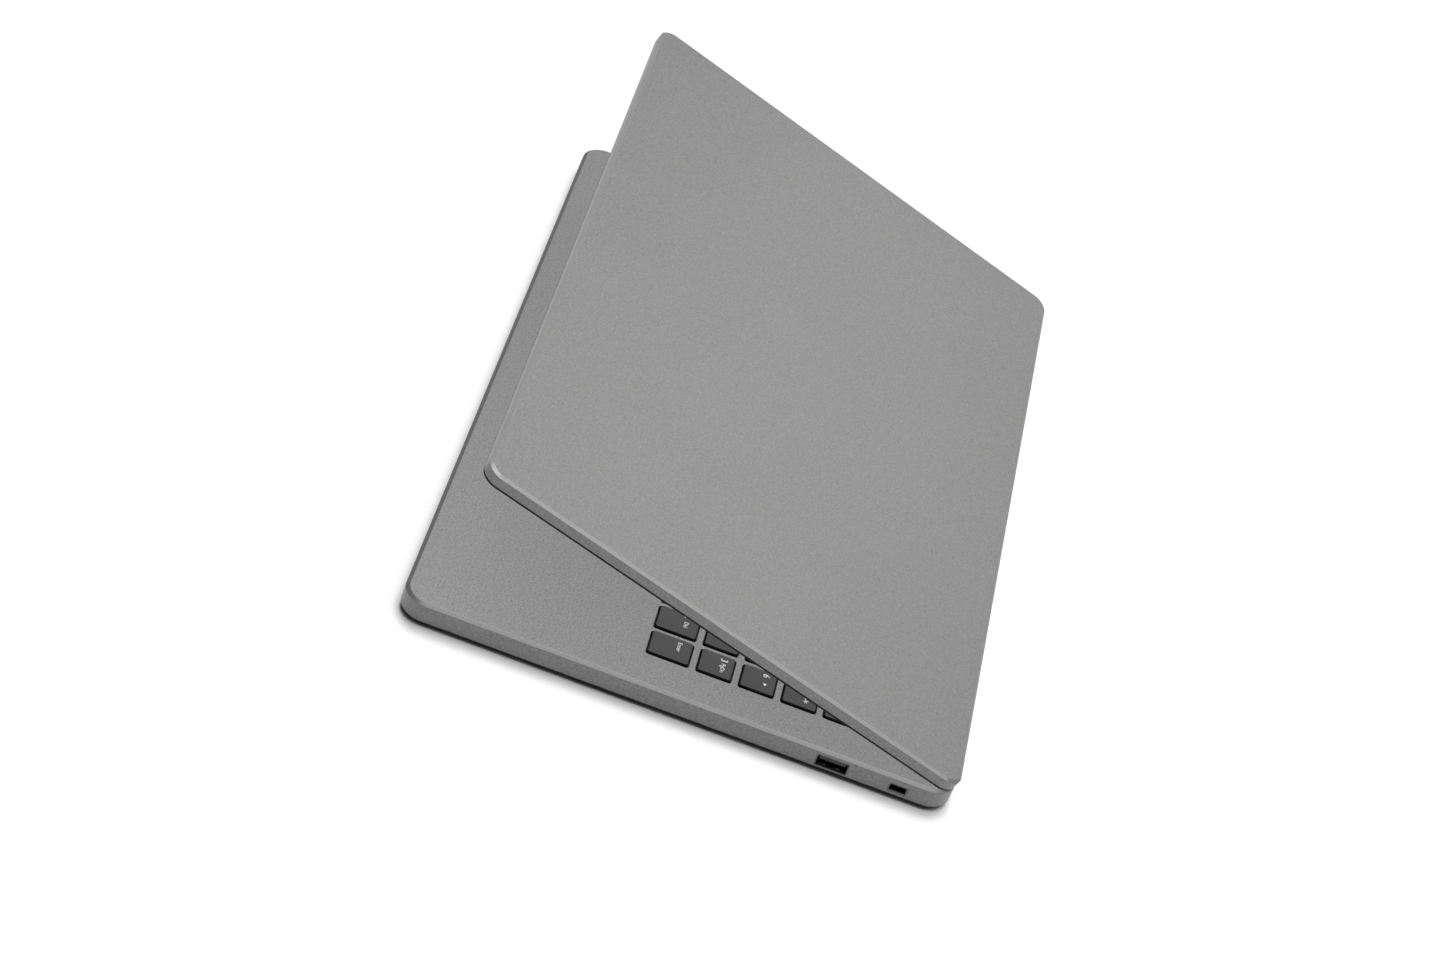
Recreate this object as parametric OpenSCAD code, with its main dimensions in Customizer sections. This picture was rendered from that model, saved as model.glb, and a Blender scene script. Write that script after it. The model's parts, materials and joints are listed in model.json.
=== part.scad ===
// Slim notebook computer with a number pad, drawn in millimetres.
// +X is the right-hand side, -Y the front edge, +Z up. Z = 0 is the
// surface the rubber feet stand on, X = Y = 0 the centre of the base.
// The lid stands open by lid_open degrees.

/* [Body] */
// Width of the computer
body_w = 357.6; // [350:0.2:366]
// Depth of the base
body_d = 228.4; // [226:0.2:234]
// Height of the base shell without its feet
base_h = 9.9; // [9.6:0.1:11]
// Height of the rubber feet
foot_h = 1.3; // [0.8:0.1:2]
// Radius of the base corners
base_r = 10.5; // [8:0.5:14]
// Wall thickness of the shells
wall = 1.6; // [1.4:0.1:1.8]
// Width of the bevel round the deck and the lid face
bevel_w = 1.6; // [1:0.1:2]
// Height of that bevel
bevel_h = 1.0; // [0.6:0.1:1.2]

/* [Lid] */
// How far the lid stands open, in degrees
lid_open = 17.4; // [10:0.1:90]
// Thickness of the closed lid
lid_t = 6.2; // [6:0.1:7]
// Gap between the closed lid and the deck
lid_gap = 0.5; // [0.4:0.1:0.8]
// Step back of the lid behind the front edge
lid_step = 1.6; // [1:0.1:3]
// Radius of the lid corners
lid_r = 7.2; // [5:0.1:10]
// Hinge axis behind the centre of the base
hinge_y = 111; // [110.6:0.1:111.4]
// Hinge axis below the deck
hinge_drop = 5; // [4.9:0.1:5.1]

/* [Display] */
// Width of the picture
view_w = 344.2; // [340:0.2:345]
// Height of the picture
view_d = 193.6; // [190:0.2:194]

/* [Keyboard] */
// Key pitch across the main block
pitch_x = 18.0; // [17.8:0.1:18]
// Key pitch across the number pad
pad_pitch_x = 16.5; // [16:0.1:16.6]
// Key pitch from row to row
pitch_y = 17.75; // [17:0.05:18]
// Depth of a key opening in the letter rows
key_d = 15.1; // [14:0.1:15.2]
// Strip of deck between two key openings in a row
web = 1.8; // [1.6:0.1:2.4]
// Gap round a keycap in its opening
key_gap = 0.4; // [0.3:0.05:0.5]
// Height of the keycaps above the deck
key_up = 1.0; // [0.6:0.1:1.1]
// Travel of a key
key_travel = 1.2; // [0.8:0.1:1.2]

/* [Touchpad] */
// Width of the touchpad
pad_w = 110; // [95:1:120]
// Depth of the touchpad
pad_d = 70; // [60:1:72]

/* [Hidden] */
$fn = 48;
e = 0.02;

hw = body_w/2;
hd = body_d/2;
shell_z = foot_h;
cover_z = foot_h + 1.2;          // joint between bottom cover and case
deck_z = foot_h + base_h;
deck_t = 1.2;
roof_z = deck_z - deck_t;        // underside of the deck
hinge_z = deck_z - hinge_drop;
lid_z = deck_z + lid_gap;        // inner face of the closed lid
lid_top = lid_z + lid_t;
lid_y0 = -hd + lid_step;
lid_y1 = hinge_y + 0.5;
rim_z = lid_z + 0.8;             // inner shoulder of the lid's black seam
seam_z = lid_z + 1.1;            // lower rim of the lid cover
view_y0 = lid_y0 + 10;
notch_x = 150.6;                 // half width of the hinge notch
notch_y = hinge_y - 5.2;
barrel_r = 4.2;
shaft_r = 2.0;
bore_r = 2.05;
plate_z = roof_z - 2.1;          // underside of the keyboard plate
plate_t = 0.7;
pad_cx = -26;
pad_cy = -66.5;
fan_x = -95;
fan_y = 70;
alu = "#8f8f8f";
alu_dark = "#6a6a6a";
black = "#1c1c1e";
cap_grey = "#4a4a4c";
steel = "#9a9ca0";
board = "#1d4a35";

// Rounded rectangle outline with n steps on each corner
function corner(cx, cy, r, a0, n) =
    [for (i = [0:n]) [cx + r*cos(a0 + 90*i/n), cy + r*sin(a0 + 90*i/n)]];
function rr(x0, x1, y0, y1, r, n = 4) = concat(
    corner(x1 - r, y1 - r, r, 0, n), corner(x0 + r, y1 - r, r, 90, n),
    corner(x0 + r, y0 + r, r, 180, n), corner(x1 - r, y0 + r, r, 270, n));

module slab(x0, x1, y0, y1, r, z0, z1, n = 4)
    translate([0, 0, z0]) linear_extrude(z1 - z0)
        polygon(rr(x0, x1, y0, y1, r, n));
module brick(x0, x1, y0, y1, z0, z1)
    translate([x0, y0, z0]) cube([x1 - x0, y1 - y0, z1 - z0]);
module rod_x(x0, x1, y, z, r)
    translate([x0, y, z]) rotate([0, 90, 0]) cylinder(h = x1 - x0, r = r);
module post(x, y, z0, z1, r)
    translate([x, y, z0]) cylinder(h = z1 - z0, r = r);

// Places the closed lid's parts at the lid's resting angle
module on_lid()
    translate([0, hinge_y, hinge_z]) rotate([-lid_open, 0, 0])
        translate([0, -hinge_y, -hinge_z]) children();

// ---------------------------------------------------------------- keys
// A key opening is [x0, x1, y0, y1]
kb_x0 = -160;
pad_x1 = 160;
row0_d = 18.1;                   // depth of the front row
fn_d = 10.8;                     // depth of the function row
row_y0 = [-17.5, for (i = [1:5]) -17.5 + row0_d + 2.65 + (i - 1)*pitch_y];
row_len = [row0_d, key_d, key_d, key_d, key_d, fn_d];
function sum_to(v, i) = i <= 0 ? 0 : v[i - 1] + sum_to(v, i - 1);
function cell(row, u, w) = [kb_x0 + u*pitch_x, kb_x0 + (u + w)*pitch_x - web,
    row_y0[row], row_y0[row] + row_len[row]];
function cells(row, u, widths) =
    [for (i = [0:len(widths) - 1]) cell(row, u + sum_to(widths, i), widths[i])];
function pad_cell(row, col) =    // column 0 is the right-hand one
    [pad_x1 - col*pad_pitch_x - (pad_pitch_x - web), pad_x1 - col*pad_pitch_x,
     row_y0[row], row_y0[row] + row_len[row]];
function ones(n) = [for (i = [1:n]) 1];
half_d = (row0_d - 2.0)/2;
function upper_half(c) = [c[0], c[1], c[3] - half_d, c[3]];
function lower_half(c) = [c[0], c[1], c[2], c[2] + half_d];

k_escape = cells(5, 0, [1]);
k_function = cells(5, 1, ones(14));
k_power = [pad_cell(5, 0)];
k_number = cells(4, 0, ones(13));
k_backspace = cells(4, 13, [2]);
k_tab = cells(3, 0, [1.5]);
k_upper = cells(3, 1.5, concat(ones(12), [1.5]));
k_caps = cells(2, 0, [1.75]);
k_home = cells(2, 1.75, ones(11));
k_enter = cells(2, 12.75, [2.25]);
k_shift_l = cells(1, 0, [2.25]);
k_lower = cells(1, 2.25, ones(10));
k_shift_r = cells(1, 12.25, [2.75]);
k_modifiers = concat(cells(0, 0, [1.25, 1, 1, 1.25]), cells(0, 10, [1, 1]));
k_space = cells(0, 4.5, [5.5]);
k_arrows = [cell(0, 12, 1), upper_half(cell(0, 13, 1)),
    lower_half(cell(0, 13, 1)), cell(0, 14, 1)];
k_digits = [for (r = [1:3]) for (c = [0:2]) pad_cell(r, c),
    pad_cell(0, 1), pad_cell(0, 2)];
k_operators = [pad_cell(4, 0), pad_cell(4, 1), pad_cell(4, 2),
    pad_cell(5, 1), pad_cell(5, 2)];
k_pad_enter = [pad_cell(0, 0)];
all_keys = concat(k_escape, k_function, k_power, k_number, k_backspace,
    k_tab, k_upper, k_caps, k_home, k_enter, k_shift_l, k_lower,
    k_shift_r, k_modifiers, k_space, k_arrows, k_digits, k_operators,
    k_pad_enter);

module caps(list, c = cap_grey)
    color(c) for (k = list)
        slab(k[0] + key_gap, k[1] - key_gap, k[2] + key_gap, k[3] - key_gap,
            0.9, roof_z, deck_z + key_up, 3);

module key_escape() caps(k_escape);
module keys_function_row() caps(k_function);
module power_button() caps(k_power, "#5a5a5c");
module keys_number_row() caps(k_number);
module key_backspace() caps(k_backspace);
module key_tab() caps(k_tab);
module keys_upper_letters() caps(k_upper);
module key_caps_lock() caps(k_caps);
module keys_home_letters() caps(k_home);
module key_enter() caps(k_enter);
module key_shift_left() caps(k_shift_l);
module keys_lower_letters() caps(k_lower);
module key_shift_right() caps(k_shift_r);
module keys_modifiers() caps(k_modifiers);
module key_space_bar() caps(k_space);
module keys_arrows() caps(k_arrows);
module keys_pad_digits() caps(k_digits);
module keys_pad_operators() caps(k_operators);
module key_pad_enter() caps(k_pad_enter);

// Sprung sheet-metal plate under the keys, with a lightening hole per key
module keyboard_plate() color(steel)
    translate([0, 0, plate_z]) linear_extrude(plate_t) difference() {
        polygon(rr(kb_x0 - 2, pad_x1 + 2, row_y0[0] - 2, row_y0[5] + fn_d + 2,
            2, 3));
        for (k = all_keys) translate([(k[0] + k[1])/2, (k[2] + k[3])/2])
            circle(r = 1.6);
    }

// One rubber dome and scissor foot per key, low enough to pass full travel
module key_domes() color("#303034")
    for (k = all_keys) {
        cx = (k[0] + k[1])/2;
        cy = (k[2] + k[3])/2;
        difference() {
            post(cx, cy, plate_z + plate_t, plate_z + plate_t + 0.12, 2.6);
            post(cx, cy, plate_z, plate_z + plate_t + 1, 1.6);
        }
    }

// ---------------------------------------------------------------- ports
usb_w = 12.6;
usb_h = 5.1;
usb_y = 65.3;
usb_z = 6.0;
lock_y = 92.8;
lock_z = deck_z - 5.35;
lock_w = 6.8;
lock_h = 3.0;
left_usb_y = 30;
hdmi_y = 52;
usbc_y = 8;
dc_y = 80;
dc_z = 6.2;
jack_y = -12;
jack_z = 6.3;
jack_r = 1.8;

// Metal socket shell with a tongue; its mouth looks along +X and is flush
// with the outside of the case. w and h are the clear opening.
module socket(y, z, w, h, depth, tongue_w, tongue_t, tongue_dz, set_back,
        r = 0.3) {
    rotate([90, 0, 90]) {
        translate([0, 0, hw - depth]) linear_extrude(depth - 0.05) difference() {
            polygon(rr(y - w/2 - 0.35, y + w/2 + 0.35, z - h/2 - 0.35,
                z + h/2 + 0.35, r + 0.35, 3));
            polygon(rr(y - w/2, y + w/2, z - h/2, z + h/2, r, 3));
        }
        translate([0, 0, hw - depth - 1]) linear_extrude(1)
            polygon(rr(y - w/2 - 0.35, y + w/2 + 0.35, z - h/2 - 0.35,
                z + h/2 + 0.35, r + 0.35, 3));
    }
    brick(hw - depth - e, hw - set_back, y - tongue_w/2, y + tongue_w/2,
        z + tongue_dz - tongue_t/2, z + tongue_dz + tongue_t/2);
}
module usb_a_port_right() color(steel)
    socket(usb_y, usb_z, usb_w, usb_h, 12.5, 11.1, 1.84, 0.85, 1.2);
module usb_a_port_left() color(steel) mirror([1, 0, 0])
    socket(left_usb_y, usb_z, usb_w, usb_h, 12.5, 11.1, 1.84, 0.85, 1.2);
module hdmi_port() color(steel) mirror([1, 0, 0])
    socket(hdmi_y, usb_z, 14.2, 4.6, 11, 11.2, 0.9, 0.1, 1.6, 0.6);
module usb_c_port() color(steel) mirror([1, 0, 0])
    socket(usbc_y, usb_z, 8.6, 2.7, 8, 6.6, 0.7, 0, 1.2, 1.2);
module dc_jack() color(black) {
    difference() {
        rod_x(-hw + 0.05, -hw + 11, dc_y, dc_z, 3.4);
        rod_x(-hw - 1, -hw + 9.5, dc_y, dc_z, 2.6);
    }
    rod_x(-hw + 1.2, -hw + 9.5 + e, dc_y, dc_z, 0.8);
}
module audio_jack() color(black)
    difference() {
        rod_x(-hw + 0.05, -hw + 14, jack_y, jack_z, 2.9);
        rod_x(-hw - 1, -hw + 13, jack_y, jack_z, jack_r);
    }
module lock_slot_frame() color(alu_dark)
    rotate([90, 0, 90]) {
        translate([0, 0, hw - wall - 2]) linear_extrude(wall + 1.9) difference() {
            polygon(rr(lock_y - lock_w/2 - 0.5, lock_y + lock_w/2 + 0.5,
                lock_z - lock_h/2 - 0.5, lock_z + lock_h/2 + 0.5, 0.9, 3));
            polygon(rr(lock_y - lock_w/2, lock_y + lock_w/2,
                lock_z - lock_h/2, lock_z + lock_h/2, 0.5, 3));
        }
    }

// Openings that the side walls leave for the sockets
module port_cuts() {
    rotate([90, 0, 90]) {
        translate([0, 0, hw - 4]) linear_extrude(8) {
            polygon(rr(usb_y - usb_w/2 - 0.4, usb_y + usb_w/2 + 0.4,
                usb_z - usb_h/2 - 0.4, usb_z + usb_h/2 + 0.4, 0.7, 3));
            polygon(rr(lock_y - lock_w/2 - 0.55, lock_y + lock_w/2 + 0.55,
                lock_z - lock_h/2 - 0.55, lock_z + lock_h/2 + 0.55, 0.9, 3));
        }
        translate([0, 0, -hw - 4]) linear_extrude(8) {
            polygon(rr(left_usb_y - usb_w/2 - 0.4, left_usb_y + usb_w/2 + 0.4,
                usb_z - usb_h/2 - 0.4, usb_z + usb_h/2 + 0.4, 0.7, 3));
            polygon(rr(hdmi_y - 7.5, hdmi_y + 7.5, usb_z - 2.7, usb_z + 2.7,
                1, 3));
            polygon(rr(usbc_y - 4.7, usbc_y + 4.7, usb_z - 1.75, usb_z + 1.75,
                1.6, 3));
        }
    }
    rod_x(-hw - 4, -hw + 4, dc_y, dc_z, 3.45);
    rod_x(-hw - 4, -hw + 4, jack_y, jack_z, 2.95);
}

// ---------------------------------------------------------------- base
boss_at = [[-168, -103], [168, -103], [-60, -107.5], [60, -107.5],
    [-170, -25], [170, -25], [-168, 98], [168, 98], [-40, 98], [40, 98]];

module top_case() color(alu) {
    difference() {
        hull() {
            slab(-hw, hw, -hd, hd, base_r, cover_z, deck_z - bevel_h, 8);
            slab(-hw + bevel_w, hw - bevel_w, -hd + bevel_w, hd - bevel_w,
                base_r - bevel_w, deck_z - 0.1, deck_z, 8);
        }
        // hollow inside, with a wall in front of the hinge notch
        translate([0, 0, cover_z - 1]) linear_extrude(roof_z - cover_z + 1)
            difference() {
                polygon(rr(-hw + wall, hw - wall, -hd + wall, hd - wall,
                    base_r - wall, 6));
                translate([-notch_x - wall, notch_y - wall])
                    square([2*(notch_x + wall), 20]);
            }
        brick(-notch_x, notch_x, notch_y, hd + 5, 0, deck_z + 5);
        // one opening per key
        translate([0, 0, roof_z - 1]) linear_extrude(4)
            for (k = all_keys) polygon(rr(k[0], k[1], k[2], k[3], 1.3, 3));
        // touchpad opening
        slab(pad_cx - pad_w/2 - 0.3, pad_cx + pad_w/2 + 0.3,
            pad_cy - pad_d/2 - 0.3, pad_cy + pad_d/2 + 0.3, 2.3,
            roof_z - 1, deck_z + 1, 3);
        port_cuts();
        // exhaust slots behind the cooling fins
        for (i = [0:12]) brick(fan_x - 22 + i*3.5, fan_x - 20 + i*3.5,
            notch_y - wall - 1, notch_y + 1, 3.4, 8.2);
        // ways through for the two hinge brackets
        for (s = [-1, 1]) brick(s*144.5 - 4.8, s*144.5 + 4.8,
            notch_y - wall - 1, notch_y + 1, 3.8, 7.2);
    }
    // screw bosses
    for (p = boss_at) difference() {
        post(p[0], p[1], cover_z + 0.6, roof_z + e, 2.4);
        post(p[0], p[1], cover_z - 1, roof_z - 1, 1.0);
    }
    // bosses for the hinge brackets
    for (s = [-1, 1], y = [90, 97]) difference() {
        post(s*144.5, y, 7.05, roof_z + e, 2.2);
        post(s*144.5, y, 5, roof_z - 0.8, 0.8);
    }
}

module bottom_cover() color(alu_dark) {
    difference() {
        hull() {
            slab(-hw + 1.1, hw - 1.1, -hd + 1.1, hd - 1.1, base_r - 1.1,
                shell_z, shell_z + 0.1, 8);
            slab(-hw, hw, -hd, hd, base_r, cover_z - 0.15, cover_z, 8);
        }
        brick(-notch_x, notch_x, notch_y, hd + 5, 0, 5);
        for (p = boss_at) {
            post(p[0], p[1], 0, cover_z + 1, 1.05);
            post(p[0], p[1], 0, shell_z + 0.7, 2.3);
        }
        // air intake under the fan
        for (i = [0:13]) brick(fan_x - 20 + i*3, fan_x - 18.4 + i*3,
            fan_y - 17, fan_y + 17, 0, 5);
        // intake beside it, under the board
        for (i = [0:20]) brick(-30 + i*4, -28.2 + i*4, fan_y - 8, fan_y + 8,
            0, 5);
        // sound slots under the speakers
        for (s = [-1, 1], i = [0:7]) brick(s*140 - 14 + i*4 - 1,
            s*140 - 14 + i*4 + 1, -92, -84, 0, 5);
    }
    // locating lip inside the case walls
    translate([0, 0, cover_z - e]) linear_extrude(1.2) difference() {
        polygon(rr(-hw + wall + 0.25, hw - wall - 0.25, -hd + wall + 0.25,
            hd - wall - 0.25, base_r - wall - 0.25, 6));
        polygon(rr(-hw + wall + 1.2, hw - wall - 1.2, -hd + wall + 1.2,
            hd - wall - 1.2, base_r - wall - 1.2, 6));
        translate([-notch_x - wall - 0.25, notch_y - wall - 0.25])
            square([2*(notch_x + wall + 0.25), 20]);
        // gaps where the sockets and the lock slot reach the wall
        translate([hw - 8, usb_y - 8]) square([10, 16]);
        translate([hw - 8, lock_y - 6]) square([10, 12]);
        translate([-hw - 2, jack_y - 5]) square([10, dc_y - jack_y + 10]);
        for (p = boss_at) translate(p) circle(r = 3);
    }
}

foot_at = [[-138, -100], [138, -100], [-138, 88], [138, 88]];
module rubber_feet() color("#26262a")
    for (p = foot_at) slab(p[0] - 15, p[0] + 15, p[1] - 4.5, p[1] + 4.5, 4.2,
        0, foot_h, 6);

module bottom_screws() color(steel)
    for (p = boss_at) difference() {
        union() {
            post(p[0], p[1], shell_z + 0.15, shell_z + 0.7, 2.1);
            post(p[0], p[1], shell_z + 0.65, 7.0, 0.95);
        }
        translate([p[0], p[1], 0]) cylinder(h = shell_z + 0.45, r = 0.9, $fn = 6);
    }

// ---------------------------------------------------------------- inside
module motherboard() color(board) {
    difference() {
        slab(-164, 164, -22, 88, 2, 4.2, 5.0, 3);
        slab(fan_x - 26.5, fan_x + 26.5, 40, 100, 1, 0, 10, 3);
        for (s = [-1, 1]) slab(s*144.5 - 7, s*144.5 + 7, 84, 110, 1, 0, 10, 3);
        for (x = [-155, -50, 60, 155], y = [-17, 36]) post(x, y, 0, 10, 1.5);
    }
    // chips and chokes on its upper side
    for (x = [60, 78, 96]) brick(x, x + 12, 62, 74, 5.0 - e, 6.2);
    for (i = [0:7]) brick(-40 + i*8, -36 + i*8, 10, 14, 5.0 - e, 6.4);
    brick(120, 138, 10, 28, 5.0 - e, 6.1);
    brick(-150, -136, -12, 4, 5.0 - e, 6.1);
}
module cpu_package() color("#3b5a46") {
    brick(0, 42, 36, 60, 5.0, 5.6);
    brick(4, 18, 41, 55, 5.6 - e, 6.1);
    brick(22, 34, 43, 53, 5.6 - e, 6.1);
}
module heat_pipe() color("#b87348") {
    brick(2, 36, 40, 56, 6.1, 6.6);
    brick(-60, 30, 44.5, 51.5, 6.6 - e, 7.6);
    brick(-67, -60 + e, 44.5, 101, 6.6 - e, 7.6);
    brick(-119, -67 + e, 95, 101, 6.6 - e, 7.6);
}
module heatsink_fins() color("#a9a9a9") {
    brick(-118, -72, 95.2, 103.2, 2.9, 3.2);
    brick(-118, -72, 95.2, 103.2, 6.2, 6.55);
    for (i = [0:22]) brick(-118 + i*2.07, -117.7 + i*2.07, 95.2, 103.2,
        3.2 - e, 6.2 + e);
}
module fan_housing() color(black) {
    x0 = fan_x - 25; x1 = fan_x + 25; y0 = fan_y - 25; y1 = fan_y + 24.8;
    // lower plate with the inlet, a three-legged spider and the pin
    difference() {
        slab(x0, x1, y0, y1, 4, 2.9, 3.4);
        difference() {
            post(fan_x, fan_y, 2, 4, 16);
            post(fan_x, fan_y, 1, 5, 5);
            for (a = [90, 210, 330]) translate([fan_x, fan_y, 0])
                rotate([0, 0, a]) brick(0, 20, -1.5, 1.5, 1, 5);
        }
    }
    post(fan_x, fan_y, 3.4 - e, 6.2, 1.2);
    // wall, open towards the rear
    difference() {
        slab(x0, x1, y0, y1, 4, 3.4 - e, 6.1);
        post(fan_x, fan_y, 2, 8, 23.2);
        brick(fan_x - 20, fan_x + 22, fan_y, y1 + 5, 2, 8);
    }
    // upper plate
    difference() {
        slab(x0, x1, y0, y1, 4, 6.1 - e, 6.5);
        post(fan_x, fan_y, 5, 8, 1.6);
    }
}
module fan_impeller() color("#2b2b30")
    difference() {
        union() {
            post(fan_x, fan_y, 3.7, 5.9, 8.5);
            for (i = [0:22]) translate([fan_x, fan_y, 3.8])
                rotate([0, 0, i*360/23]) translate([8, -0.35, 0])
                    cube([13.6, 0.7, 2.0]);
        }
        post(fan_x, fan_y, 3, 8, 1.25);
    }
module ssd_module() color("#235b45") {
    brick(70, 150, 34, 56, 5.3, 6.0);
    brick(78, 96, 36, 54, 6.0 - e, 7.0);
    brick(104, 122, 36, 54, 6.0 - e, 7.0);
    brick(128, 140, 39, 51, 6.0 - e, 7.0);
}
module memory_module() color("#235b45") {
    brick(-45, 22.6, -16, 8, 5.4, 6.2);
    for (i = [0:3]) brick(-42 + i*16, -30 + i*16, -12, 2, 6.2 - e, 7.2);
}
module wifi_card() color("#235b45") {
    brick(-60, -38, 60, 86, 5.2, 5.9);
    brick(-58, -42, 63, 80, 5.9 - e, 7.0);
}
module battery_pack() color("#2a2b2f") {
    slab(-125, 125, -104, -26, 2, 2.6, 3.2, 3);
    for (i = [0:3]) slab(-122 + i*61.5, -63 + i*61.5, -101, -34, 3,
        3.2 - e, 7.3, 3);
    slab(-60, 60, -33, -27, 1, 3.2 - e, 5.5, 3);
}
module speaker(s) color("#202022") difference() {
    slab(s*143 - 16, s*143 + 16, -97, -78, 3, 2.7, 7.2);
    for (i = [0:5]) brick(s*143 - 11 + i*4 - 0.8, s*143 - 11 + i*4 + 0.8,
        -92, -84, 2, 3.6);
}
module speaker_left() speaker(-1);
module speaker_right() speaker(1);
module touchpad_bracket() color(steel) difference() {
    slab(pad_cx - pad_w/2 - 6, pad_cx + pad_w/2 + 6, pad_cy - pad_d/2 - 3,
        pad_cy + pad_d/2 + 5, 2, 8.2, 8.9, 3);
    slab(pad_cx - pad_w/2 + 8, pad_cx + pad_w/2 - 8, pad_cy - pad_d/2 + 8,
        pad_cy + pad_d/2 - 8, 3, 8, 9.5, 3);
}
module touchpad() color("#7d7d7f")
    slab(pad_cx - pad_w/2, pad_cx + pad_w/2, pad_cy - pad_d/2,
        pad_cy + pad_d/2, 2, deck_z - 1.3, deck_z - 0.15, 4);

// Knuckle with the bore for the lid shaft, and its arm into the base
module hinge_bracket(s) color(steel) difference() {
    union() {
        rod_x(s*144.6 - 5.6, s*144.6 + 5.6, hinge_y, hinge_z, barrel_r);
        brick(s*144.5 - 4.5, s*144.5 + 4.5, 86, hinge_y, 4.0, 7.0);
    }
    rod_x(s*144.6 - 8, s*144.6 + 8, hinge_y, hinge_z, bore_r);
    for (y = [90, 97]) post(s*144.5, y, 3, 8, 1.1);
}
module hinge_bracket_left() hinge_bracket(-1);
module hinge_bracket_right() hinge_bracket(1);

// ---------------------------------------------------------------- lid
module lid_cover() on_lid() color(alu) difference() {
    hull() {
        slab(-hw, hw, lid_y0, lid_y1, lid_r, seam_z, lid_top - bevel_h, 8);
        slab(-hw + bevel_w, hw - bevel_w, lid_y0 + bevel_w, lid_y1 - bevel_w,
            lid_r - bevel_w, lid_top - 0.1, lid_top, 8);
    }
    slab(-hw + 1.3, hw - 1.3, lid_y0 + 1.3, lid_y1 - 1.3, lid_r - 1.3,
        rim_z - 1, lid_top - 1.2, 6);
}
module display_bezel() on_lid() color(black) difference() {
    union() {
        slab(-hw + 0.05, hw - 0.05, lid_y0 + 0.05, lid_y1 - 0.05,
            lid_r - 0.05, rim_z - 0.4, seam_z, 8);
        slab(-hw + 1.4, hw - 1.4, lid_y0 + 1.4, lid_y1 - 1.4, lid_r - 1.4,
            rim_z - e, rim_z + 0.6, 6);
    }
    slab(-view_w/2, view_w/2, view_y0, view_y0 + view_d, 0.6,
        rim_z - 2, rim_z + 2, 3);
    post(0, lid_y0 + 5.2, rim_z - 2, rim_z + 2, 1.5);
    for (s = [-1, 1]) brick(s*131 - 3.5, s*131 + 3.5, hinge_y - 2.6,
        lid_y1 - 1.2, rim_z - 2, rim_z + 2);
}
module lcd_panel() on_lid() color("#101114")
    slab(-174, 174, view_y0 - 2, view_y0 + view_d + 4, 1.5, rim_z + 0.6,
        rim_z + 3.2, 3);
module lid_gasket() on_lid() color("#151517")
    translate([0, 0, lid_z]) linear_extrude(0.4) difference() {
        polygon(rr(-hw + 0.15, hw - 0.15, lid_y0 + 0.15, lid_y1 - 0.15,
            lid_r - 0.15, 6));
        polygon(rr(-hw + 2.7, hw - 2.7, lid_y0 + 2.7, lid_y1 - 2.7,
            lid_r - 2.7, 6));
        translate([-notch_x - 1, hinge_y - 8]) square([2*notch_x + 2, 20]);
    }
module webcam_module() on_lid() color("#1a2a22") {
    brick(-16, 16, lid_y0 + 2.4, lid_y0 + 7.6, rim_z + 0.7, rim_z + 1.4);
    post(0, lid_y0 + 5.2, rim_z + 0.1, rim_z + 0.7 + e, 1.4);
}
// Barrel round the hinge axis, with a neck up to the lid
module hinge_cover() on_lid() color(black) difference() {
    union() {
        rod_x(-138.4, 138.4, hinge_y, hinge_z, barrel_r);
        brick(-138.4, 138.4, hinge_y - 2.8, hinge_y + 0.4, hinge_z,
            rim_z - 0.4);
    }
    for (s = [-1, 1]) {
        rod_x(s*131.5 - 8.5, s*131.5 + 8.5, hinge_y, hinge_z, 2.4);
        brick(s*131 - 3.5, s*131 + 3.5, hinge_y - 2.4, hinge_y, hinge_z,
            rim_z + 1);
    }
}
// Shaft, upright web and flat flange screwed inside the lid
module hinge_arm(s) on_lid() color(steel) difference() {
    union() {
        rod_x(min(s*125, s*149.8), max(s*125, s*149.8), hinge_y, hinge_z,
            shaft_r);
        brick(s*131 - 3, s*131 + 3, hinge_y - 2.2, hinge_y - 1.0, hinge_z,
            rim_z + 4.0);
        brick(min(s*100, s*134), max(s*100, s*134), 97.5, hinge_y - 1.0,
            rim_z + 3.3, rim_z + 4.1);
    }
    for (x = [105, 122]) post(s*x, 104, rim_z + 2, rim_z + 5, 1.2);
}
module hinge_arm_left() hinge_arm(-1);
module hinge_arm_right() hinge_arm(1);
module display_cable() on_lid() color("#3a3420") {
    brick(-72, -52, 94, 109.5, rim_z + 3.3, rim_z + 3.6);
    brick(-76, -48, 88, 94.1, rim_z + 3.21, rim_z + 3.9);
}
module wifi_antennas() on_lid() color("#7a6a3a")
    for (s = [-1, 1]) brick(s*140 - 22, s*140 + 22, lid_y0 + 1.8,
        lid_y0 + 6.8, rim_z + 3.3, rim_z + 3.7);
module lid_magnets() on_lid() color("#8a8a90")
    for (s = [-1, 1]) brick(s*95 - 6, s*95 + 6, lid_y0 + 1.8, lid_y0 + 6.4,
        rim_z + 0.7, rim_z + 2.6);

top_case();
bottom_cover();
rubber_feet();
bottom_screws();
motherboard();
cpu_package();
heat_pipe();
heatsink_fins();
fan_housing();
fan_impeller();
ssd_module();
memory_module();
wifi_card();
battery_pack();
speaker_left();
speaker_right();
touchpad_bracket();
touchpad();
keyboard_plate();
key_domes();
hinge_bracket_left();
hinge_bracket_right();
usb_a_port_right();
usb_a_port_left();
hdmi_port();
usb_c_port();
dc_jack();
audio_jack();
lock_slot_frame();
lid_cover();
display_bezel();
lcd_panel();
lid_gasket();
webcam_module();
hinge_cover();
hinge_arm_left();
hinge_arm_right();
display_cable();
wifi_antennas();
lid_magnets();
key_escape();
keys_function_row();
power_button();
keys_number_row();
key_backspace();
key_tab();
keys_upper_letters();
key_caps_lock();
keys_home_letters();
key_enter();
key_shift_left();
keys_lower_letters();
key_shift_right();
keys_modifiers();
key_space_bar();
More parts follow.
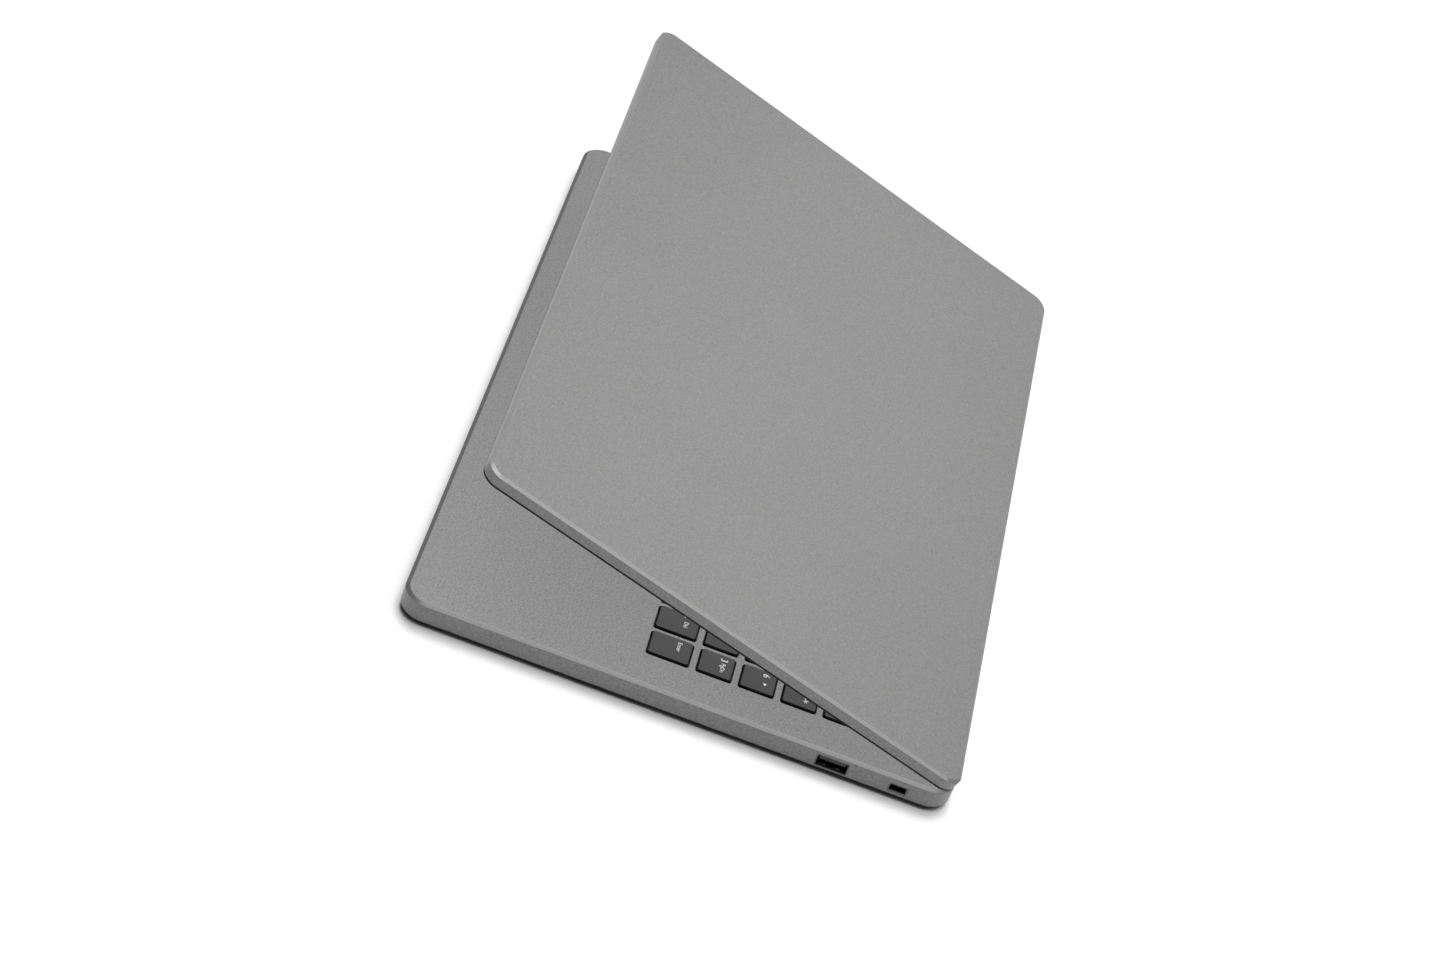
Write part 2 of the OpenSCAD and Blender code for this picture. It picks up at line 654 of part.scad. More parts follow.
keys_arrows();
keys_pad_digits();
keys_pad_operators();
key_pad_enter();
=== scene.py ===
import json
import math

import bpy
import bmesh
from mathutils import Matrix, Vector
from mathutils.geometry import tessellate_polygon

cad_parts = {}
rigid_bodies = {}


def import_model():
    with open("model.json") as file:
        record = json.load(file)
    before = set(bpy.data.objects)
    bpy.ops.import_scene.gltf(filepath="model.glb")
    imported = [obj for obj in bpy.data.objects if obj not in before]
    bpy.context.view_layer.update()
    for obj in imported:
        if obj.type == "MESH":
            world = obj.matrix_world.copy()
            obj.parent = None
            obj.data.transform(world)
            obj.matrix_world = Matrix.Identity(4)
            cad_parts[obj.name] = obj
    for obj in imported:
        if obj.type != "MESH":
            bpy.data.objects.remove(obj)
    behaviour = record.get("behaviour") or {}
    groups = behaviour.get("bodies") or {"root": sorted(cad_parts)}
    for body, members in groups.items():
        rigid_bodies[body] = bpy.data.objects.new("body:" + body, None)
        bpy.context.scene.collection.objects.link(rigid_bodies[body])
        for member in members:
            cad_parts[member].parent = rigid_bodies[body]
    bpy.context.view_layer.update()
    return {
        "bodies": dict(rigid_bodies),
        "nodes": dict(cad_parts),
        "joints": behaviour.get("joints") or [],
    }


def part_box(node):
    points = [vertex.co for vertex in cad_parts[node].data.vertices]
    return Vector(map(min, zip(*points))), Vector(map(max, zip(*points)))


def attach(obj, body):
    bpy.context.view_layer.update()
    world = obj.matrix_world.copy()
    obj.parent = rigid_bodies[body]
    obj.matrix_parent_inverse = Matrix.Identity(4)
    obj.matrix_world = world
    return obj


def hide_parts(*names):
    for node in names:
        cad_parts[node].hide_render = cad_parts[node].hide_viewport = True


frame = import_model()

MM = 0.001


def cad(node):
    lo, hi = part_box(node)
    return [c * 1000 for c in lo], [c * 1000 for c in hi]


# ------------------------------------------------------------------ sizes, in mm
_lo, _hi = cad("top_case")
HW, HD, DECK, COVER_Z = _hi[0], -_lo[1], _hi[2], _lo[2]
SHELL_Z = cad("bottom_cover")[0][2]
BASE_R, WALL = 10.5, 1.6
BEV_W, BEV_H = 1.6, 1.0
ROOF = DECK - 1.2
HINGE = next(j for j in frame["joints"] if j["name"] == "display_hinge")
HY, HZ = HINGE["pos_m"][1] * 1000, HINGE["pos_m"][2] * 1000
OPEN = math.radians(-HINGE["range_deg"][0])
LID_Z = DECK + 0.5
LID_TOP = LID_Z + 6.2
LID_Y0, LID_Y1 = -HD + 1.6, HY + 0.5
LID_R = 7.2
RIM = LID_Z + 0.8
SEAM = LID_Z + 1.1
VIEW_W, VIEW_D, VIEW_Y0 = 344.2, 193.6, LID_Y0 + 10
NOTCH_X, NOTCH_Y = 150.6, HY - 5.2
FAN_X, FAN_Y = -95.0, 70.0
LID_TURN = (Matrix.Translation((0, HY, HZ)) @ Matrix.Rotation(-OPEN, 4, "X")
            @ Matrix.Translation((0, -HY, -HZ)))


# ------------------------------------------------------------------ materials
def mat(name, color, rough=0.5, metal=0.0, spec=0.5, grain=2200.0, grain_amount=0.05,
        bump=0.1, bump_mm=0.02, cloud=0.02, rough_var=0.04, coat=0.0, detail=3.0,
        cloud_scale=14.0):
    """Procedural finish: fine grain in colour, bump and roughness, and a faint large-scale drift."""
    m = bpy.data.materials.new(name)
    m.use_nodes = True
    nt = m.node_tree
    b = nt.nodes["Principled BSDF"]
    b.inputs["Metallic"].default_value = metal
    b.inputs["Specular IOR Level"].default_value = spec
    if coat:
        b.inputs["Coat Weight"].default_value = coat
        b.inputs["Coat Roughness"].default_value = 0.12
    tc = nt.nodes.new("ShaderNodeTexCoord")
    n1 = nt.nodes.new("ShaderNodeTexNoise")
    n1.inputs["Scale"].default_value = grain
    n1.inputs["Detail"].default_value = detail
    n1.inputs["Roughness"].default_value = 0.6
    n2 = nt.nodes.new("ShaderNodeTexNoise")
    n2.inputs["Scale"].default_value = cloud_scale
    n2.inputs["Detail"].default_value = 2.0
    nt.links.new(tc.outputs["Object"], n1.inputs["Vector"])
    nt.links.new(tc.outputs["Object"], n2.inputs["Vector"])
    # grain colour
    r1 = nt.nodes.new("ShaderNodeValToRGB")
    e = r1.color_ramp.elements
    e[0].position, e[1].position = 0.3, 0.7
    lo = [c * (1 - grain_amount) for c in color]
    hi = [min(1, c * (1 + grain_amount)) for c in color]
    e[0].color = (*lo, 1)
    e[1].color = (*hi, 1)
    nt.links.new(n1.outputs["Fac"], r1.inputs["Fac"])
    r2 = nt.nodes.new("ShaderNodeValToRGB")
    e = r2.color_ramp.elements
    e[0].position, e[1].position = 0.3, 0.7
    e[0].color = (1 - cloud, 1 - cloud, 1 - cloud, 1)
    e[1].color = (1, 1, 1, 1)
    nt.links.new(n2.outputs["Fac"], r2.inputs["Fac"])
    mul = nt.nodes.new("ShaderNodeMix")
    mul.data_type = "RGBA"
    mul.blend_type = "MULTIPLY"
    mul.inputs[0].default_value = 1.0
    nt.links.new(r1.outputs["Color"], mul.inputs[6])
    nt.links.new(r2.outputs["Color"], mul.inputs[7])
    nt.links.new(mul.outputs[2], b.inputs["Base Color"])
    mr = nt.nodes.new("ShaderNodeMapRange")
    mr.inputs["From Min"].default_value = 0.3
    mr.inputs["From Max"].default_value = 0.7
    mr.inputs["To Min"].default_value = max(0.02, rough - rough_var)
    mr.inputs["To Max"].default_value = min(1, rough + rough_var)
    nt.links.new(n1.outputs["Fac"], mr.inputs["Value"])
    nt.links.new(mr.outputs["Result"], b.inputs["Roughness"])
    if bump:
        bp = nt.nodes.new("ShaderNodeBump")
        bp.inputs["Strength"].default_value = bump
        bp.inputs["Distance"].default_value = bump_mm * MM
        nt.links.new(n1.outputs["Fac"], bp.inputs["Height"])
        nt.links.new(bp.outputs["Normal"], b.inputs["Normal"])
    return m


def brushed(name, color, axis=0, rough=0.35, metal=1.0, stretch=60.0):
    """Metal with fine drawn lines along one axis."""
    m = mat(name, color, rough=rough, metal=metal, grain_amount=0.1, bump=0.08, rough_var=0.08)
    nt = m.node_tree
    mp = nt.nodes.new("ShaderNodeMapping")
    s = [1.0, 1.0, 1.0]
    s[axis] = 1.0 / stretch
    mp.inputs["Scale"].default_value = s
    tc = next(n for n in nt.nodes if n.bl_idname == "ShaderNodeTexCoord")
    n1 = next(n for n in nt.nodes if n.bl_idname == "ShaderNodeTexNoise")
    nt.links.new(tc.outputs["Object"], mp.inputs["Vector"])
    nt.links.new(mp.outputs["Vector"], n1.inputs["Vector"])
    return m


CASE = mat("case_finish", (0.213, 0.213, 0.212), rough=0.42, metal=0.35, grain=1150,
           grain_amount=0.28, bump=0.18, bump_mm=0.03, cloud=0.03, rough_var=0.06, detail=4.0)
# Near-black bottom cover: its dark bevel paints the shade along the base's lower edge.
UNDER_PAINTED_SHADE = mat("under_cover_painted_shade", (0.032, 0.032, 0.033), rough=0.5, metal=0.3, grain=1400,
            grain_amount=0.16, bump=0.3, bump_mm=0.03, rough_var=0.06)
# Deck chamfer: a darker, glossier copy of the case metal; its lower tone is painted shade on the chamfer.
DECK_CHAMFER_SHADE = mat("deck_chamfer_painted_shade", (0.190, 0.190, 0.189), rough=0.38, metal=0.4, grain=1400, grain_amount=0.12,
           bump=0.2, bump_mm=0.03, rough_var=0.05)
# Lid chamfer: a brighter copy of the case metal, a painted highlight along the lid's edge.
LID_CHAMFER_HIGHLIGHT = mat("lid_chamfer_painted_highlight", (0.300, 0.300, 0.298), rough=0.36, metal=0.4, grain=1400, grain_amount=0.12,
               bump=0.2, bump_mm=0.03, rough_var=0.05)
CAP_TOP = mat("keycap_top", (0.047, 0.047, 0.048), rough=0.55, grain=3200, grain_amount=0.12,
              bump=0.25, bump_mm=0.02, spec=0.35)
# Near-black plastic for the key sides: partly their own darker plastic, partly painted shade in the gap round each
# key; it also paints the shade inside the microphone holes.
CAP_SIDE_AND_SHADE = mat("keycap_side_and_painted_shade", (0.006, 0.006, 0.0065), rough=0.5, grain=3200, grain_amount=0.1,
               bump=0.15, bump_mm=0.02, spec=0.25)
LEGEND = mat("legend_white", (0.82, 0.82, 0.80), rough=0.55, grain=3000, grain_amount=0.02, bump=0.05)
BLACK = mat("black_plastic", (0.014, 0.014, 0.015), rough=0.48, grain=2400, grain_amount=0.15,
            bump=0.3, bump_mm=0.03, spec=0.4)
BEZEL = mat("bezel_plastic", (0.010, 0.010, 0.0105), rough=0.6, grain=3000, grain_amount=0.15,
            bump=0.35, bump_mm=0.03, spec=0.2)
RUBBER = mat("rubber", (0.018, 0.018, 0.019), rough=0.85, grain=1800, grain_amount=0.2, bump=0.4,
             bump_mm=0.04, spec=0.2)
SCREEN = mat("screen_face", (0.006, 0.0062, 0.007), rough=0.22, grain=5000, grain_amount=0.1,
             bump=0.03, bump_mm=0.005, spec=0.5, rough_var=0.02)
LENS = mat("lens_glass", (0.004, 0.004, 0.008), rough=0.06, grain=2000, bump=0.0, spec=0.8, rough_var=0.01)
PAD = mat("touchpad_face", (0.205, 0.205, 0.204), rough=0.34, metal=0.15, grain=4200, grain_amount=0.05,
          bump=0.06, bump_mm=0.01, cloud=0.01)
STEEL = brushed("plated_steel", (0.42, 0.42, 0.43), rough=0.3)
DARK_STEEL = brushed("dark_steel", (0.05, 0.05, 0.052), rough=0.4)
SHELL_STEEL = brushed("socket_shell", (0.16, 0.16, 0.165), axis=0, rough=0.35)
TONGUE = mat("tongue_plastic", (0.03, 0.03, 0.031), rough=0.45, grain=2400, grain_amount=0.15, bump=0.2, bump_mm=0.02)
CLIP = brushed("spring_clip", (0.3, 0.3, 0.31), axis=0, rough=0.3)
POCKET = mat("slot_pocket", (0.03, 0.03, 0.031), rough=0.6, grain=1800, grain_amount=0.2, bump=0.2)
GOLD = mat("contact_gold", (0.8, 0.55, 0.2), rough=0.28, metal=1.0, grain=2600, grain_amount=0.05, bump=0.05)
BOARD = mat("board_lacquer", (0.012, 0.075, 0.038), rough=0.42, grain=900, grain_amount=0.35, bump=0.3,
            bump_mm=0.05, coat=0.3)
COPPER = mat("copper_pipe", (0.72, 0.34, 0.19), rough=0.32, metal=1.0, grain=1500, grain_amount=0.08, bump=0.08)
FIN = brushed("fin_aluminium", (0.6, 0.6, 0.61), axis=2, rough=0.35)
WRAP = mat("battery_wrap", (0.022, 0.022, 0.026), rough=0.5, grain=900, grain_amount=0.2, bump=0.25, bump_mm=0.05)
RIBBON = mat("ribbon_film", (0.16, 0.1, 0.03), rough=0.35, grain=1200, grain_amount=0.15, bump=0.1)


# ------------------------------------------------------------------ mesh building, in mm
def rr(x0, x1, y0, y1, r, n=8, side=0):
    """Rounded rectangle, counter-clockwise, as (x, y) points; side adds points along straight edges."""
    r = max(0.01, min(r, (x1 - x0) / 2 - 0.001, (y1 - y0) / 2 - 0.001))
    out = []
    cs = [(x1 - r, y1 - r, 0), (x0 + r, y1 - r, 90), (x0 + r, y0 + r, 180), (x1 - r, y0 + r, 270)]
    for k, (cx, cy, a0) in enumerate(cs):
        arc = [(cx + r * math.cos(math.radians(a0 + 90 * i / n)),
                cy + r * math.sin(math.radians(a0 + 90 * i / n))) for i in range(n + 1)]
        out += arc
        nx = cs[(k + 1) % 4]
        a1 = math.radians(nx[2])
        nxt = (nx[0] + r * math.cos(a1), nx[1] + r * math.sin(a1))
        for s in range(1, side + 1):
            t = s / (side + 1)
            out.append((arc[-1][0] * (1 - t) + nxt[0] * t, arc[-1][1] * (1 - t) + nxt[1] * t))
    return out


def fillet(pts, radii, k=3):
    """Rounds the inner corners of an open polyline of (a, b) points."""
    out = []
    for i, (p, r) in enumerate(zip(pts, radii)):
        if r == 0 or i in (0, len(pts) - 1):
            out.append(tuple(p))
            continue
        p = Vector(p)
        a, b = Vector(pts[i - 1]) - p, Vector(pts[i + 1]) - p
        la, lb = a.length, b.length
        u, v = a / la, b / lb
        ang = math.acos(max(-1, min(1, u.dot(v))))
        if ang > math.pi - 0.01:
            out.append(tuple(p))
            continue
        t = min(r / math.tan(ang / 2), 0.45 * la, 0.45 * lb)
        r = t * math.tan(ang / 2)
        c = p + (u + v).normalized() * (r / math.sin(ang / 2))
        s, e = p + u * t - c, p + v * t - c
        sweep = math.acos(max(-1, min(1, s.normalized().dot(e.normalized()))))
        for j in range(k + 1):
            f = j / k
            w = (s * math.sin((1 - f) * sweep) + e * math.sin(f * sweep)) / math.sin(sweep)
            out.append(tuple(c + w))
    return out


class Build:
    def __init__(self):
        self.v, self.f, self.m = [], [], []

    def ring(self, pts):
        start = len(self.v)
        self.v += [tuple(p) for p in pts]
        return list(range(start, start + len(pts)))

    def face(self, idx, m=0):
        self.f.append(tuple(idx))
        self.m.append(m)

    def bridge(self, a, b, m=0, skip=(), closed=True):
        n = len(a)
        for i in range(n if closed else n - 1):
            if i in skip:
                continue
            j = (i + 1) % n
            self.face((a[i], a[j], b[j], b[i]), m)

    def tess(self, loops, m=0):
        """Fills a flat area bounded by the first loop with the others as holes."""
        flat = [i for lp in loops for i in lp]
        tris = tessellate_polygon([[Vector(self.v[i]) for i in lp] for lp in loops])
        for t in tris:
            self.face([flat[i] for i in t], m)

    def loft(self, rings, m=0, cap0=True, cap1=True):
        ids = [self.ring(r) for r in rings]
        for a, b in zip(ids, ids[1:]):
            self.bridge(a, b, m)
        if cap0:
            self.face(ids[0], m)
        if cap1:
            self.face(ids[-1], m)
        return ids

    def add(self, other_v, other_f, m=0):
        s = len(self.v)
        self.v += [tuple(p) for p in other_v]
        for f in other_f:
            self.face([i + s for i in f], m)

    def obj(self, name, body, mats, lid=False, stands_for=(), smooth=True, sharp=None):
        me = bpy.data.meshes.new(name)
        me.from_pydata(self.v, [], self.f)
        for k, mt in enumerate(mats):
            me.materials.append(mt)
        me.polygons.foreach_set("material_index", self.m)
        if lid:
            me.transform(LID_TURN)
        me.transform(Matrix.Scale(MM, 4))
        bm = bmesh.new()
        bm.from_mesh(me)
        bmesh.ops.remove_doubles(bm, verts=bm.verts, dist=1e-7)
        bmesh.ops.recalc_face_normals(bm, faces=bm.faces)
        bm.to_mesh(me)
        bm.free()
        me.polygons.foreach_set("use_smooth", [smooth] * len(me.polygons))
        if sharp is not None:
            me.set_sharp_from_angle(angle=math.radians(sharp))
        me.update()
        o = bpy.data.objects.new(name, me)
        bpy.context.scene.collection.objects.link(o)
        if smooth:
            w = o.modifiers.new("weighted", "WEIGHTED_NORMAL")
            w.mode = "FACE_AREA"
            w.weight = 100
            w.keep_sharp = True
        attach(o, body)
        if stands_for:
            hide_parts(*stands_for)
        return o


def at(pts, z):
    return [(x, y, z) for x, y in pts]


# ------------------------------------------------------------------ keyboard layout (as in the CAD)
PX, PPX, PY, KD, WEB = 18.0, 16.5, 17.75, 15.1, 1.8
ROW_Y = [-17.5] + [-17.5 + 18.1 + 2.65 + i * PY for i in range(5)]
ROW_LEN = [18.1, KD, KD, KD, KD, 10.8]
GAP, KEY_UP = 0.4, 1.0
HALF = (18.1 - 2.0) / 2


def cell(row, u, w):
    return (-160 + u * PX, -160 + (u + w) * PX - WEB, ROW_Y[row], ROW_Y[row] + ROW_LEN[row])


def cells(row, u, widths):
    out = []
    for w in widths:
        out.append(cell(row, u, w))
        u += w
    return out


def pad_cell(row, col):
    return (160 - col * PPX - (PPX - WEB), 160 - col * PPX, ROW_Y[row], ROW_Y[row] + ROW_LEN[row])


def upper_half(c):
    return (c[0], c[1], c[3] - HALF, c[3])


def lower_half(c):
    return (c[0], c[1], c[2], c[2] + HALF)


def word(t):
    return [("word", t)]


def two(a, b):
    return [("low", a), ("high", b)]


KEYS = {
    "key_escape": [(c, word("Esc")) for c in cells(5, 0, [1])],
    "keys_function_row": list(zip(cells(5, 1, [1] * 14),
        [word(t) for t in ["F1", "F2", "F3", "F4", "F5", "F6", "F7", "F8", "F9", "F10", "F11", "F12", "PrtSc", "Del"]])),
    "power_button": [(pad_cell(5, 0), [("power", "")])],
    "keys_number_row": list(zip(cells(4, 0, [1] * 13),
        [two(a, b) for a, b in ["`~", "1!", "2@", "3#", "4$", "5%", "6^", "7&", "8*", "9(", "0)", "-_", "=+"]])),
    "key_backspace": [(c, word("Backspace")) for c in cells(4, 13, [2])],
    "key_tab": [(c, word("Tab")) for c in cells(3, 0, [1.5])],
    "keys_upper_letters": list(zip(cells(3, 1.5, [1] * 12 + [1.5]),
        [[("letter", t)] for t in "QWERTYUIOP"] + [two("[", "{"), two("]", "}"), two("\\", "|")])),
    "key_caps_lock": [(c, word("Caps Lock")) for c in cells(2, 0, [1.75])],
    "keys_home_letters": list(zip(cells(2, 1.75, [1] * 11),
        [[("letter", t)] for t in "ASDFGHJKL"] + [two(";", ":"), two("'", '"')])),
    "key_enter": [(c, word("Enter")) for c in cells(2, 12.75, [2.25])],
    "key_shift_left": [(c, word("Shift")) for c in cells(1, 0, [2.25])],
    "keys_lower_letters": list(zip(cells(1, 2.25, [1] * 10),
        [[("letter", t)] for t in "ZXCVBNM"] + [two(",", "<"), two(".", ">"), two("/", "?")])),
    "key_shift_right": [(c, word("Shift")) for c in cells(1, 12.25, [2.75])],
    "keys_modifiers": list(zip(cells(0, 0, [1.25, 1, 1, 1.25]) + cells(0, 10, [1, 1]),
        [word("Ctrl"), word("Fn"), [("ring", "")], word("Alt"), word("Alt"), word("Ctrl")])),
    "key_space_bar": [(c, []) for c in cells(0, 4.5, [5.5])],
    "keys_arrows": [(cell(0, 12, 1), [("arrow", 180)]), (upper_half(cell(0, 13, 1)), [("arrow", 90)]),
                    (lower_half(cell(0, 13, 1)), [("arrow", 270)]), (cell(0, 14, 1), [("arrow", 0)])],
    "keys_pad_digits": list(zip(
        [pad_cell(r, c) for r in (1, 2, 3) for c in (0, 1, 2)] + [pad_cell(0, 1), pad_cell(0, 2)],
        [[("num", "3"), ("sub", "PgDn")], [("num", "2"), ("sub_arrow", 270)], [("num", "1"), ("sub", "End")],
         [("num", "6"), ("sub_arrow", 0)], [("num", "5")], [("num", "4"), ("sub_arrow", 180)],
         [("num", "9"), ("sub", "PgUp")], [("num", "8"), ("sub_arrow", 90)], [("num", "7"), ("sub", "Home")],
         [("num", "."), ("sub", "Del")], [("num", "0"), ("sub", "Ins")]])),
    "keys_pad_operators": list(zip([pad_cell(4, 0), pad_cell(4, 1), pad_cell(4, 2), pad_cell(5, 1), pad_cell(5, 2)],
        [[("num", "*")], [("num", "/")], word("NumLk"), [("num", "+")], [("num", "-")]])),
    "key_pad_enter": [(pad_cell(0, 0), [("sub", "Enter")])],
}

_glyphs = {}


def glyph(text, size):
    """Closed thin solid of a line of text: points (x, y, top or bottom flag) and faces, from Blender's own font."""
    key = (text, size)
    if key not in _glyphs:
        cu = bpy.data.curves.new("glyph", "FONT")
        cu.body = text
        cu.size = size
        cu.resolution_u = 3
        cu.extrude = 0.02
        cu.offset = 0 if set(text) & set("4M") else 0.008 * size
        o = bpy.data.objects.new("glyph", cu)
        bpy.context.scene.collection.objects.link(o)
        bpy.context.view_layer.update()
        me = o.evaluated_get(bpy.context.evaluated_depsgraph_get()).to_mesh()
        vs = [tuple(v.co) for v in me.vertices]
        fs = [tuple(p.vertices) for p in me.polygons]
        bpy.data.objects.remove(o)
        bpy.data.curves.remove(cu)
        _glyphs[key] = (vs, fs)
    return _glyphs[key]


def triangle(cx, cy, r, turn):
    pts = [(cx + r * math.cos(math.radians(turn + a)), cy + r * math.sin(math.radians(turn + a))) for a in (0, 125, 235)]
    vs = [(x, y, z) for z in (-0.02, 0.02) for x, y in pts]
    return vs, [(0, 1, 2), (5, 4, 3), (0, 3, 4, 1), (1, 4, 5, 2), (2, 5, 3, 0)]


def ring_mark(cx, cy, r, w, a0=0, a1=360):
    n = 28
    full = a1 - a0 >= 360
    steps = n if full else n + 1
    vs, fs = [], []
    for i in range(steps):
        a = math.radians(a0 + (a1 - a0) * i / n)
        c, s = math.cos(a), math.sin(a)
        for rad in (r, r - w):
            for z in (-0.02, 0.02):
                vs.append((cx + rad * c, cy + rad * s, z))
    for i in range(n):
        a, b = 4 * i, 4 * ((i + 1) % steps)
        fs += [(a, b, b + 1, a + 1), (a + 2, a + 3, b + 3, b + 2), (a, a + 2, b + 2, b), (a + 1, b + 1, b + 3, a + 3)]
    if not full:
        fs += [(0, 1, 3, 2), (4 * n, 4 * n + 2, 4 * n + 3, 4 * n + 1)]
    return vs, fs


def bar_mark(x0, x1, y0, y1):
    vs = [(x, y, z) for z in (-0.02, 0.02) for x, y in ((x0, y0), (x1, y0), (x1, y1), (x0, y1))]
    return vs, [(3, 2, 1, 0), (4, 5, 6, 7), (0, 1, 5, 4), (1, 2, 6, 5), (2, 3, 7, 6), (3, 0, 4, 7)]


def cap(bd, k, legends, depth=0.13):
    x0, x1, y0, y1 = k[0] + GAP, k[1] - GAP, k[2] + GAP, k[3] - GAP
    cx, cy, w, d = (x0 + x1) / 2, (y0 + y1) / 2, x1 - x0, y1 - y0
    top = DECK + KEY_UP
    if d < 12:
        depth *= d / 16

    def dish(x, y):
        u = min(1, abs(x - cx) / (w / 2 - 0.5))
        v = min(1, abs(y - cy) / (d / 2 - 0.5))
        return -depth * (1 - u * u) * (1 - v * v)

    prof = fillet([(0.0, ROOF), (0.06, top - 0.75), (0.42, top - 0.02), (1.1, top - 0.0)], [0, 0.3, 0.3, 0], 4)
    rings = []
    for i, (ins, z) in enumerate(prof):
        pts = rr(x0 + ins, x1 - ins, y0 + ins, y1 - ins, max(0.35, 1.0 - ins * 0.6), 5, 4)
        rings.append([(x, y, z if i < len(prof) - 1 else z + dish(x, y)) for x, y in pts])
    for f in (0.2, 0.4, 0.6, 0.78, 0.92):
        ins = 1.1 + (min(w, d) / 2 - 1.1) * f
        pts = rr(x0 + ins, x1 - ins, y0 + ins, y1 - ins, max(0.1, 0.35 * (1 - f)), 5, 4)
        rings.append([(x, y, top + dish(x, y)) for x, y in pts])
    ids = [bd.ring(r) for r in rings]
    for i, (a, b) in enumerate(zip(ids, ids[1:])):
        # the sides take the near-black material, which also paints the shade in the gap round each key
        bd.bridge(a, b, 1 if rings[i][0][2] < top - 0.22 else 0)
    bd.face(ids[0], 1)
    bd.face(ids[-1], 0)

    def put(vs, fs, px, py):
        out = []
        for x, y, z in vs:
            X, Y = px + x, py + y
            out.append((X, Y, top + dish(X, Y) + 0.05 + z))
        bd.add(out, fs, 2)

    def line(text, size, px, py):
        vs, fs = glyph(text, size)
        ys = [v[1] for v in vs]
        put([(x, y - 0.36 * size, z) for x, y, z in vs], fs, px, py)

    left = x0 + 1.75
    high = y0 + d * 0.69 if d > 12 else cy
    for kind, t in legends:
        if kind == "letter":
            line(t, 3.9, left, high)
        elif kind == "word":
            line(t, 2.6, left, high)
        elif kind == "low":
            line(t, 3.3, left, y0 + d * 0.36)
        elif kind == "high":
            line(t, 3.1, left, y0 + d * 0.74)
        elif kind == "num":
            line(t, 4.15, x0 + 2.3, high)
        elif kind == "sub":
            line(t, 2.55, x0 + (2.3 if len(legends) == 1 else 5.3), high)
        elif kind == "sub_arrow":
            put(*triangle(0, 0, 0.95, t), x0 + 8.6, high)
        elif kind == "arrow":
            put(*triangle(0, 0, 1.1, t), cx, cy)
        elif kind == "ring":
            put(*ring_mark(0, 0, 1.5, 0.35), left + 1.5, high)
        elif kind == "power":
            put(*ring_mark(0, 0, 1.7, 0.38, 120, 420), cx, cy - 0.1)
            put(*bar_mark(-0.2, 0.2, 0.3, 2.0), cx, cy - 0.1)


for node, items in KEYS.items():
    bd = Build()
    for k, legends in items:
        cap(bd, k, legends)
    bd.obj("caps_" + node, node, [CAP_TOP, CAP_SIDE_AND_SHADE, LEGEND], stands_for=[node])

ALL_KEYS = [k for items in KEYS.values() for k, _ in items]


# ------------------------------------------------------------------ base outline with the hinge notch
def base_outline(r=BASE_R, k=0.15, n=14):
    """Points (x, y, ix, iy): a unit inset moves a point by (ix, iy)."""
    out = []

    def arc(cx, cy, a0):
        for i in range(n + 1):
            a = math.radians(a0 + 90 * i / n)
            out.append((cx + r * math.cos(a), cy + r * math.sin(a), -math.cos(a), -math.sin(a)))
    arc(HW - r, HD - r, 0)
    out.append((NOTCH_X, HD, k, -1))
    out.append((NOTCH_X, NOTCH_Y, k, -k))
    out.append((-NOTCH_X, NOTCH_Y, -k, -k))
    out.append((-NOTCH_X, HD, -k, -1))
    arc(-HW + r, HD - r, 90)
    arc(-HW + r, -HD + r, 180)
    arc(HW - r, -HD + r, 270)
    return out


NARC = 14
SEG_NOTCH = NARC + 2                       # between the two inner notch corners
SEG_LEFT = (NARC + 1) + 4 + NARC           # straight left side
SEG_RIGHT = 4 * (NARC + 1) + 4 - 1         # straight right side (the closing segment)


def outline_ring(o, d, z):
    return [(x + ix * d, y + iy * d, z) for x, y, ix, iy in o]


# side openings: (y0, y1, z0, z1, r)
USB_Y, USB_Z, LOCK_Y, LOCK_Z = 65.3, 6.0, 92.8, DECK - 5.35
right_holes = [(USB_Y - 6.7, USB_Y + 6.7, USB_Z - 2.95, USB_Z + 2.95, 0.7),
               (LOCK_Y - 3.95, LOCK_Y + 3.95, LOCK_Z - 2.05, LOCK_Z + 2.05, 0.9)]
left_holes = [(30 - 6.7, 30 + 6.7, USB_Z - 2.95, USB_Z + 2.95, 0.7),
              (52 - 7.5, 52 + 7.5, USB_Z - 2.7, USB_Z + 2.7, 1.0),
              (8 - 4.7, 8 + 4.7, USB_Z - 1.75, USB_Z + 1.75, 1.6),
              (80 - 3.45, 80 + 3.45, 6.2 - 3.45, 6.2 + 3.45, 3.44),
              (-12 - 2.95, -12 + 2.95, 6.3 - 2.95, 6.3 + 2.95, 2.94)]
# notch wall openings: (x0, x1, z0, z1, r)
notch_holes = [(FAN_X - 22 + i * 3.5, FAN_X - 20 + i * 3.5, 3.4, 8.2, 0.8) for i in range(13)]
notch_holes += [(s * 144.5 - 4.8, s * 144.5 + 4.8, 3.8, 7.2, 0.4) for s in (-1, 1)]


